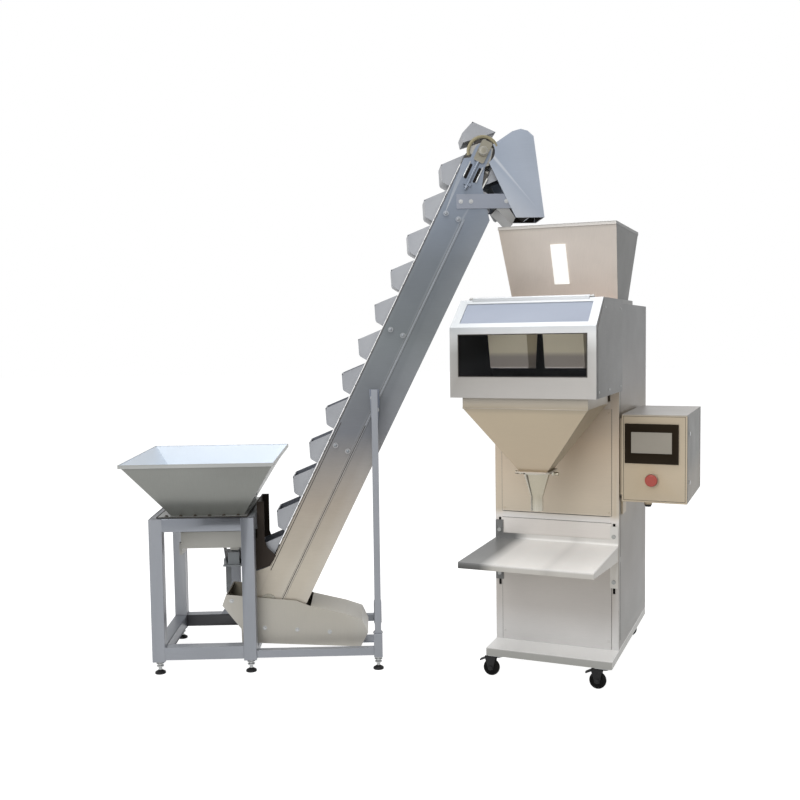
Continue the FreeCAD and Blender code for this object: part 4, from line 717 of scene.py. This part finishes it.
def softNode(node, name, finish, body, width=0.0007, rounded=True):
    source = frame["nodes"][node]
    copy = bpy.data.objects.new(name, source.data.copy())
    bpy.context.scene.collection.objects.link(copy)
    copy.data.transform(source.matrix_world)
    clearPick()
    copy.select_set(True)
    bpy.context.view_layer.objects.active = copy
    bpy.ops.object.mode_set(mode="EDIT")
    bpy.ops.mesh.select_all(action="SELECT")
    bpy.ops.mesh.remove_doubles(threshold=0.00001)
    bpy.ops.mesh.dissolve_limited(angle_limit=math.radians(1.0))
    bpy.ops.object.mode_set(mode="OBJECT")
    bpy.ops.mesh.customdata_custom_splitnormals_clear()
    softEdges(copy, width, 2, 50)
    if not rounded:
        bpy.ops.object.shade_flat()
    else:
        smooth(copy, 40)
        addModifier(copy, "WEIGHTED_NORMAL", weight=100, keep_sharp=True)
    return fit(copy, finish, body, (node,))


def buildSoftSheets():
    for node, finish, width in (("stand_frame", "stand_paint", 0.0016), ("discharge_hood", "hood", 0.0008),
                                ("side_plates", "casing", 0.0006), ("base_tray", "baseFloor", 0.0012),
                                ("control_box", "box_grey", 0.0012), ("hmi_panel", "panel_black", 0.0014),
                                ("leg_brackets", "strap", 0.0008), ("column_panels", "filler_sheet", 0.0005)):
        softNode(node, "soft" + "".join(w.title() for w in node.split("_")), finish, "machine", width,
                 node not in ("discharge_hood", "side_plates"))


buildSoftSheets()
print("stage: softened sheets")


footSet = {"pad": [(0.0205, 0.0), (0.0215, 0.0025), (0.0200, 0.0070), (0.0125, 0.0115), (0.0080, 0.0135),
                   (0.0078, 0.0150)],
           "stem": [(0.0066, 0.0140), (0.0068, 0.0270), (0.0130, 0.0272), (0.0138, 0.0290), (0.0138, 0.0316),
                    (0.0068, 0.0320), (0.0068, 0.0395), (0.0155, 0.0400), (0.0155, 0.0420), (0.0110, 0.0424),
                    (0.0110, 0.0498)],
           "spots": ((25, 25), (382, 25), (25, 475), (382, 475), (884, 20), (884, 480))}


def buildFeet():
    spots = [Matrix.Translation(liftPoint(x, y, 0)) for x, y in footSet["spots"]]
    pads = scatter(turned("footPad", footSet["pad"]), "footPads", spots)
    fit(pads, "black_plastic", "machine", ("levelling_feet",))
    fit(scatter(turned("footStem", footSet["stem"], 20), "footStems", spots), "zinc")


buildFeet()
print("stage: feet")


casterSet = {"profile": [(0.0052, -0.0108), (0.0100, -0.0108), (0.0125, -0.0085), (0.0205, -0.0075),
                         (0.0225, -0.0100), (0.0280, -0.0104), (0.0303, -0.0085), (0.0312, -0.0045),
                         (0.0315, 0.0), (0.0312, 0.0045), (0.0303, 0.0085), (0.0280, 0.0104), (0.0225, 0.0100), (0.0205, 0.0075), (0.0125, 0.0085),
                         (0.0100, 0.0108), (0.0052, 0.0108)],
             "spots": {"front_left": (-205, -100), "front_right": (205, -100), "rear_left": (-205, 578),
                       "rear_right": (205, 578)}, "trail": 24.0, "radius": 31.5}


def buildCasters():
    wheel = turned("casterWheel", casterSet["profile"], 36, True)
    cap = turned("axleCap", [(0.0030, 0.0), (0.0075, 0.0002), (0.0078, 0.0018), (0.0062, 0.0030), (0.0020, 0.0034)],
                 16)
    for name, (x, y) in casterSet["spots"].items():
        tag = "".join(w.title() for w in name.split("_"))
        centre = (x - casterSet["trail"], y, casterSet["radius"])
        place = facing(fillerAxis(0, 1, 0), fillerPoint(*centre))
        tread = scatter(wheel, "wheel" + tag, [place], keep=True)
        fit(tread, "caster_tread", "wheel_" + name, ("caster_wheel_" + name,))
        caps = [facing(fillerAxis(0, side, 0), fillerPoint(centre[0], centre[1] + side * 19.2, centre[2]))
                for side in (-1, 1)]
        fit(scatter(cap, "axleCaps" + tag, caps, keep=True), "forkSteel", "caster_" + name)
    bpy.data.objects.remove(wheel)
    bpy.data.objects.remove(cap)


buildCasters()
print("stage: casters")


def taperedShell(name, low, high, lowZ, highZ, centreLow, centreHigh):
    piece = startPiece("cube", name, size=1.0, scale=(low[0], low[1], highZ - lowZ))
    piece.data.transform(Matrix.Translation((centreLow[0], centreLow[1], (lowZ + highZ) / 2)))
    pickVerts(piece, lambda p: p.z > (lowZ + highZ) / 2)
    bpy.ops.transform.resize(value=(high[0] / low[0], high[1] / low[1], 1), center_override=(*centreLow, highZ))
    bpy.ops.transform.translate(value=(centreHigh[0] - centreLow[0], centreHigh[1] - centreLow[1], 0))
    bpy.ops.object.mode_set(mode="OBJECT")
    pickFaces(piece, lambda c, n: abs(n.z) > 0.9)
    bpy.ops.mesh.delete(type="FACE")
    bpy.ops.object.mode_set(mode="OBJECT")
    addModifier(piece, "SOLIDIFY", thickness=0.0008, offset=-1)
    return piece


def buildHopperTrim():
    # painted light: a thin sheet inside the feed hopper carries the bright inside colour
    lightSheet = taperedShell("hopperPaintedLightSheet", (0.279, 0.372), (0.580, 0.640), 0.0, 0.2145, (0, 0), (-0.0185, 0.007))
    lightSheet.data.transform(Matrix.Translation(liftPoint(220.5, 250, 621)))
    fit(lightSheet, "hopperPaintedLightInside")
    lip = bar("hopperHem", (0.588, 0.0045, 0.0030), 0.0012)
    ends = bar("hopperHemEnd", (0.0045, 0.648, 0.0030), 0.0012)
    hems = [Matrix.Translation(liftPoint(202, y, 836.4)) for y in (-65.6, 579.6)]
    sides = [Matrix.Translation(liftPoint(x, 257, 836.4)) for x in (-90.6, 494.6)]
    # painted light on the hopper's rim hems
    fit(scatter(lip, "hopperHems", hems), "hopperPaintedLightInside")
    fit(scatter(ends, "hopperHemEnds", sides), "hopperPaintedLightInside")
    gasketX = bar("gasketX", (0.350, 0.006, 0.0036), 0.0008)
    gasketY = bar("gasketY", (0.006, 0.446, 0.0036), 0.0008)
    gasketZ = 616.9
    places = [Matrix.Translation(liftPoint(204, y, gasketZ)) for y in (27, 473)]
    fit(scatter(gasketX, "hopperGasketsX", places), "jointAndShadeDark")
    places = [Matrix.Translation(liftPoint(x, 250, gasketZ)) for x in (28, 380)]
    fit(scatter(gasketY, "hopperGasketsY", places), "jointAndShadeDark")
    spots = [liftPoint(x, y, 619) for x in (62, 118, 174, 230, 286, 342) for y in (45, 455)]
    fit(scatter(boltMaster(0.0052, 0.0042), "hopperBolts", [Matrix.Translation(p) for p in spots]), "dark_metal")


buildHopperTrim()
print("stage: hopper trim")


casingSet = {"tieS": (687.0, 1197.0, 1703.0), "tieN": (27.0, -27.0), "plateNear": 110.0, "plateFar": 300.0}


def buildCasingTrim():
    c = casingSet
    heads = []
    for s in c["tieS"]:
        for n in c["tieN"]:
            for y, way in ((c["plateNear"] - 6.0, -1), (c["plateFar"] + 6.0, 1)):
                heads.append(facing((0, way, 0), runPoint(s, n, y)))
    dome = turned("tieDome", [(0.0066, 0.0), (0.0064, 0.0012), (0.0050, 0.0028), (0.0024, 0.0034)], 20)
    fit(scatter(dome, "tieDomes", heads), "lift_sheet")
    near = c["plateNear"]
    long = bar("edgeLine", (1.90, 0.0007, 0.0016), 0.0003, 1)
    fit(scatter(long, "edgeLines", [runFrame(935, 53.5, near - 0.3)]), "jointAndShadeDark")
    rib = bar("ribShadow", (1.66, 0.0006, 0.0009), 0.0002, 1)
    fit(scatter(rib, "ribShadows", [runFrame(870, -52.9, near - 0.3), runFrame(870, -41.2, near - 0.3)]), "jointAndShadeDark")
    glint = bar("ribGlint", (0.90, 0.0006, 0.0012), 0.0003, 1)
    fit(scatter(glint, "ribGlints", [runFrame(1250, -46.0, near - 2.3)]), "hood")
    # painted shade: dark lines along the lower rib and the lower top edge
    crease = bar("ribCrease", (0.78, 0.0006, 0.0030), 0.0003, 1)
    fit(scatter(crease, "ribCreases", [runFrame(420, -46.5, near - 2.3)]), "jointAndShadeDark")
    crease = bar("edgeCrease", (0.66, 0.0006, 0.0030), 0.0003, 1)
    fit(scatter(crease, "edgeCreases", [runFrame(450, 46.0, near - 0.3)]), "jointAndShadeDark")
    bolts = []
    for x in (1236, 1276, 1416):
        bolts.append(onNear(x, 107, 1836, x))
    for x, z in ((876, 1068), (894, 1020), (886, 950)):
        bolts.append(onNear(x, 105, z, z))
    for x, z in ((430, 150), (560, 140), (690, 128), (300, 262)):
        bolts.append(onNear(x, 98, z, x))
    fit(scatter(boltMaster(0.0055, 0.0045), "plateBolts", bolts), "zinc")
    # painted shade inside the take-up slots
    fit(scatter(slotPlate("takeupSlot", 0.0055, 0.052, 0.0008, False), "takeupSlots",
                [runFrame(layout["runLength"] - 118, n, near - 0.4) for n in (-19, 19)]), "paintedShade")
    rails = bar("takeupRail", (0.066, 0.006, 0.0045), 0.001)
    places = [runFrame(layout["runLength"] - 88, n, near - 3.4) for n in (-27.5, 27.5)]
    fit(scatter(rails, "takeupRails", places), "zinc")


buildCasingTrim()
print("stage: casing trim")


motorSet = {"y": 366, "tilt": 60, "fins": 14, "firstFin": 0.078, "finStep": 0.0085, "cowlAt": 0.205}


def buildHeadTrim():
    arc = startPiece("torus", "headArc", major_segments=48, minor_segments=10, major_radius=0.058,
                     minor_radius=0.0065, rotation=(math.pi / 2, 0, 0))
    pickVerts(arc, lambda p: True)
    bpy.ops.mesh.bisect(plane_co=(0, 0, 0.004), plane_no=(0.3, 0, -1), clear_outer=True, use_fill=True)
    bpy.ops.mesh.select_all(action="SELECT")
    bpy.ops.transform.resize(value=(1, 0.55, 1), center_override=(0, 0, 0))
    bpy.ops.object.mode_set(mode="OBJECT")
    arc.data.transform(Matrix.Translation(runPoint(layout["runLength"], 0, 106.6)))
    smooth(arc)
    fit(arc, "khaki")
    cap = turned("shaftCap", [(0.0050, 0.0), (0.0150, 0.0002), (0.0165, 0.0016), (0.0150, 0.0036), (0.0045, 0.0044)],
                 24)
    fit(scatter(cap, "shaftCaps", [facing((0, -1, 0), runPoint(layout["runLength"], 0, 85.8))]), "machined")
    m = motorSet
    axis = Matrix.Translation(runPoint(layout["runLength"], 0, m["y"]))
    axis = axis @ Matrix.Rotation(math.radians(m["tilt"]), 4, "Y") @ Matrix.Rotation(math.pi / 2, 4, "Y")
    fin = turned("motorFin", [(0.0542, 0.0), (0.0560, 0.0004), (0.0572, 0.0012), (0.0560, 0.0020), (0.0542, 0.0024)],
                 36, True)
    places = [axis @ Matrix.Translation((0, 0, m["firstFin"] + i * m["finStep"])) for i in range(m["fins"])]
    fit(scatter(fin, "motorFins", places), "motor_paint")
    cowl = turned("motorCowl", [(0.0551, 0.0), (0.0575, 0.001), (0.0575, 0.040), (0.0540, 0.0455), (0.0300, 0.0470),
                                (0.0100, 0.0472)], 36)
    fit(scatter(cowl, "motorCowl", [axis @ Matrix.Translation((0, 0, m["cowlAt"]))]), "motor_paint")


buildHeadTrim()


def buildHoodMouth():
    # painted shade: near-black sheets inside the hood mouth
    far = bar("mouthFar", (0.104, 0.0008, 0.038), 0.0003, 1)
    fit(scatter(far, "mouthFar", [Matrix.Translation(liftPoint(1504, 302.3, 1792))]), "paintedShade")
    end = bar("mouthEnd", (0.0008, 0.186, 0.038), 0.0003, 1)
    lean = Matrix.Translation(liftPoint(1560, 206, 1792)) @ Matrix.Rotation(math.radians(-7.6), 4, "Y")
    fit(scatter(end, "mouthEnd", [lean]), "paintedShade")
    under = bar("mouthShadeSlope", (0.100, 0.186, 0.0008), 0.0003, 1)
    lean = Matrix.Translation(liftPoint(1466.5, 206, 1803.5)) @ Matrix.Rotation(math.radians(34.6), 4, "Y")
    fit(scatter(under, "mouthShadeSlope", [lean]), "paintedShade")


buildHoodMouth()
print("stage: head trim")


def buildColumnTrim():
    # painted shade inside the post slots
    slots = [fillerFrame(x, 0.6, z - 43) for x in (-222, 222) for z in (380, 552)]
    fit(scatter(slotPlate("postSlot", 0.0047, 0.086, 0.0008), "postSlots", slots), "paintedShade")
    # painted shade: dark lines in the panel joints
    seams = bar("panelSeam", (0.0012, 0.0006, 0.403), 0.0002, 1)
    fit(scatter(seams, "upperSeams", [fillerFrame(x, -0.2, 828.5) for x in (-212.8, 212.8)]), "jointAndShadeDark")
    seams = bar("lowSeam", (0.0012, 0.0006, 0.330), 0.0002, 1)
    fit(scatter(seams, "lowerSeams", [fillerFrame(x, -0.2, 283) for x in (-212.8, 212.8)]), "jointAndShadeDark")
    across = bar("acrossSeam", (0.424, 0.0006, 0.0014), 0.0002, 1)
    fit(scatter(across, "acrossSeams", [fillerFrame(0, -0.4, z) for z in (119.4, 600.9, 626.2)]), "jointAndShadeDark")
    screws = [onFront(x, -2, z, x + z) for x in (-203, 203) for z in (640, 1014, 150, 470)]
    fit(scatter(turned("panelScrew", [(0.0040, 0.0), (0.0041, 0.0006), (0.0032, 0.0017), (0.0015, 0.0021)], 16),
                "panelScrews", screws), "filler_sheet")
    # painted shade in the side joints
    edge = bar("sideSeam", (0.0006, 0.0014, 0.300), 0.0002, 1)
    fit(scatter(edge, "sideSeams", [fillerFrame(240.2, 30, z) for z in (300, 620, 940, 1240)]), "jointAndShadeDark")
    # painted shade inside the vent slots
    vents = slotPlate("ventSlot", 0.0035, 0.052, 0.0006, False)
    places = [fillerFrame(x, 613.2, z) for x in (-120, -40, 40) for z in (1240, 1262, 1284, 1306)]
    fit(scatter(vents, "rearVents", places), "paintedShade")


buildColumnTrim()
print("stage: column trim")


caseSet = {"thin": 0.0012, "soft": 0.0003, "shadeSheetHigh": 0.205, "shadeSheetZ": 1214, "shadeSheetX": 247.4, "cheekX": 252}


def buildHeadCaseTrim():
    c, inside = caseSet, []
    # painted shade: near-black sheets at the sides and back inside the head case
    panel = bar("shadeSheetSide", (c["thin"], 0.440, c["shadeSheetHigh"]), c["soft"], 1)
    sides = [fillerFrame(x, -222, c["shadeSheetZ"]) for x in (-c["shadeSheetX"], c["shadeSheetX"])]
    inside.append(scatter(panel, "shadeSheetSides", sides))
    panel = bar("shadeSheetBack", (0.497, c["thin"], c["shadeSheetHigh"]), c["soft"], 1)
    inside.append(scatter(panel, "shadeSheetBack", [fillerFrame(0, -2.4, c["shadeSheetZ"])]))
    # The case is wider and higher than the column it opens into; the dark strips there are painted shade
    strip = bar("rearStrip", (0.0096, c["thin"], 0.328), c["soft"], 1)
    inside.append(scatter(strip, "rearStrips", [fillerFrame(x, -1.1, 1266) for x in (-244, 244)]))
    strip = bar("rearStripTop", (0.478, c["thin"], 0.0135), c["soft"], 1)
    inside.append(scatter(strip, "rearStripTop", [fillerFrame(0, -1.1, 1423.6)]))
    for piece in inside:
        fit(piece, "paintedShade")
    seal = bar("coverSeal", (0.444, 0.0012, 0.0032), 0.0006, 1)
    fit(scatter(seal, "coverSeals", [fillerFrame(0, -474.4, z) for z in (1170.8, 1313.2)]), "jointAndShadeDark", "front_cover")
    seal = bar("coverSealEnd", (0.0032, 0.0012, 0.1456), 0.0006, 1)
    fit(scatter(seal, "coverSealEnds", [fillerFrame(x, -474.4, 1242) for x in (-221.4, 221.4)]), "jointAndShadeDark",
        "front_cover")
    seamLine = bar("cheekSeam", (0.0006, 0.0016, 0.226), 0.0002, 1)
    fit(scatter(seamLine, "cheekSeams", [fillerFrame(252.2, -450.6, 1212)]), "jointAndShadeDark")
    screws = [facing(fillerAxis(1, 0, 0), fillerPoint(c["cheekX"], y, z), y) for y, z in
              ((-430, 1118), (-250, 1118), (-40, 1118), (-40, 1400), (-320, 1400))]
    fit(scatter(turned("cheekScrew", [(0.0042, 0.0), (0.0043, 0.0006), (0.0033, 0.0018), (0.0015, 0.0022)], 16),
                "cheekScrews", screws), "zinc")
    hem = bar("topHem", (0.450, 0.0036, 0.0028), 0.0010)
    fit(scatter(hem, "topHems", [fillerFrame(0, y, 1723.5) for y in (258 - 243.2, 258 + 243.2)]), "hopper")
    hem = bar("topHemEnd", (0.0036, 0.486, 0.0028), 0.0010)
    fit(scatter(hem, "topHemEnds", [fillerFrame(x, 258, 1723.5) for x in (-225.2, 225.2)]), "hopper")
    flange = bar("funnelBead", (0.438, 0.0022, 0.0030), 0.0009)
    fit(scatter(flange, "funnelBeads", [fillerFrame(0, -275 - 168.8, 1060)]), "funnel")


buildHeadCaseTrim()
print("stage: head case trim")


def buildBoxTrim():
    screen = bar("hmiScreen", (0.1455, 0.0010, 0.0775), 0.0004, 1)
    fit(scatter(screen, "hmiScreen", [fillerFrame(360, -13 - 8 + 1.5, 910)]), "screen")
    lid = bar("boxSeam", (0.222, 0.0006, 0.0014), 0.0002, 1)
    fit(scatter(lid, "boxSeams", [fillerFrame(369, -13.2, z) for z in (696, 1006)]), "jointAndShadeDark")
    lid = bar("boxSeamUp", (0.0014, 0.0006, 0.310), 0.0002, 1)
    fit(scatter(lid, "boxSeamsUp", [fillerFrame(x, -13.2, 851) for x in (258.6, 479.4)]), "jointAndShadeDark")
    rear = bar("boxRearSeam", (0.0006, 0.0018, 0.310), 0.0002, 1)
    fit(scatter(rear, "boxRearSeams", [fillerFrame(486.2, y, 851) for y in (6, 424)]), "jointAndShadeDark")
    ring = turned("stopRing", [(0.0235, 0.0), (0.0247, 0.0004), (0.0247, 0.0020), (0.0238, 0.0027), (0.0228, 0.0022)],
                  32, True)
    fit(scatter(ring, "stopRing", [onFront(361, -18, 773)]), "box_grey")
    nut = boltMaster(0.0125, 0.008, 1.2)
    fit(scatter(nut, "glandNut", [facing((0, 0, -1), fillerPoint(342, 27, 677))]), "black_plastic")
    lock = turned("boxLock", [(0.0080, 0.0), (0.0082, 0.0010), (0.0068, 0.0030), (0.0030, 0.0034)], 20)
    fit(scatter(lock, "boxLocks", [facing(fillerAxis(1, 0, 0), fillerPoint(486, 60, z)) for z in (760, 940)]), "zinc")


buildBoxTrim()
print("stage: control box trim")


def weldMaster(length):
    bead = startPiece("cylinder", "weldBead", vertices=8, radius=0.0024, depth=length, rotation=(0, math.pi / 2, 0))
    bpy.ops.object.mode_set(mode="EDIT")
    bpy.ops.mesh.select_all(action="SELECT")
    bpy.ops.mesh.bisect(plane_co=(0, 0, 0), plane_no=(1, 0, 0))
    bpy.ops.mesh.select_all(action="SELECT")
    bpy.ops.mesh.subdivide(number_cuts=5)
    bpy.ops.object.mode_set(mode="OBJECT")
    pickVerts(bead, lambda p: int(round((p.x + length / 2) / length * 12)) % 2 == 0)
    bpy.ops.transform.resize(value=(1, 0.72, 0.72), center_override=(0, 0, 0))
    bpy.ops.object.mode_set(mode="OBJECT")
    return bead


def buildWelds():
    places = []
    for x, z in ((25, 108.8), (382, 108.8), (25, 564.2), (382, 564.2)):
        inward = 25.8 if x < 100 else -25.8
        for y in (25, 475):
            places.append(Matrix.Translation(liftPoint(x + inward, y, z)) @ Matrix.Rotation(math.pi / 2, 4, "Z"))
    fit(scatter(weldMaster(0.044), "standWelds", places), "stand_paint")


buildWelds()
print("stage: welds")


roomSet = {"floorZ": -0.0005, "floorSize": 60.0, "ambient": 0.34, "keyPower": 105.0, "topPower": 120.0,
           "fillPower": 6.0}


def makeRoom():
    scene = bpy.context.scene
    scene.view_settings.view_transform = "Standard"
    world = bpy.data.worlds.new("studio")
    scene.world = world
    world.use_nodes = True
    tree = world.node_tree
    path = tree.nodes.new("ShaderNodeLightPath")
    seen = Wire(tree, path.outputs["Is Camera Ray"]) + Wire(tree, path.outputs["Is Glossy Ray"])
    seen = (seen + Wire(tree, path.outputs["Is Transmission Ray"])).clamp()
    background = tree.nodes["Background"]
    background.inputs["Color"].default_value = (1, 1, 1, 1)
    tree.links.new((seen * (1.0 - roomSet["ambient"]) + roomSet["ambient"]).out, background.inputs["Strength"])
    clearPick()
    bpy.ops.mesh.primitive_plane_add(size=roomSet["floorSize"], location=(0, 0, roomSet["floorZ"]))
    floor = bpy.context.object
    floor.name = "studioFloor"
    f = Finish("studioFloor")
    speckle = f.noise(f.coords(), 30.0)
    f.put(colour=f.mixColour(speckle, (0.50, 0.50, 0.50), (0.52, 0.52, 0.52)), rough=0.9)
    f.shader.inputs["Specular IOR Level"].default_value = 0.0
    tree = f.tree
    path = tree.nodes.new("ShaderNodeLightPath")
    glow = tree.nodes.new("ShaderNodeEmission")
    glow.inputs["Strength"].default_value = 0.90
    add = tree.nodes.new("ShaderNodeAddShader")
    blend = tree.nodes.new("ShaderNodeMixShader")
    output = tree.nodes["Material Output"]
    tree.links.new(f.shader.outputs[0], add.inputs[0])
    tree.links.new(glow.outputs[0], add.inputs[1])
    seen = (Wire(tree, path.outputs["Is Camera Ray"]) + Wire(tree, path.outputs["Is Glossy Ray"])).clamp()
    tree.links.new(seen.out, blend.inputs[0])
    tree.links.new(f.shader.outputs[0], blend.inputs[1])
    tree.links.new(add.outputs[0], blend.inputs[2])
    tree.links.new(blend.outputs[0], output.inputs["Surface"])
    floor.data.materials.append(f.material)
    for name, place, aim, size, power in (
            ("keyLight", (-1.8, -4.4, 3.0), (0, 0, 1.0), 2.6, roomSet["keyPower"]),
            ("topLight", (-0.2, -0.6, 5.2), (0, 0, 1.0), 3.0, roomSet["topPower"]),
            ("fillLight", (3.4, -3.2, 2.2), (0.2, 0, 1.0), 2.4, roomSet["fillPower"])):
        data = bpy.data.lights.new(name, "AREA")
        data.size = size
        data.energy = power
        lamp = bpy.data.objects.new(name, data)
        scene.collection.objects.link(lamp)
        lamp.location = place
        lamp.rotation_euler = (Vector(aim) - Vector(place)).to_track_quat("-Z", "Y").to_euler()


makeRoom()
print("stage: room")
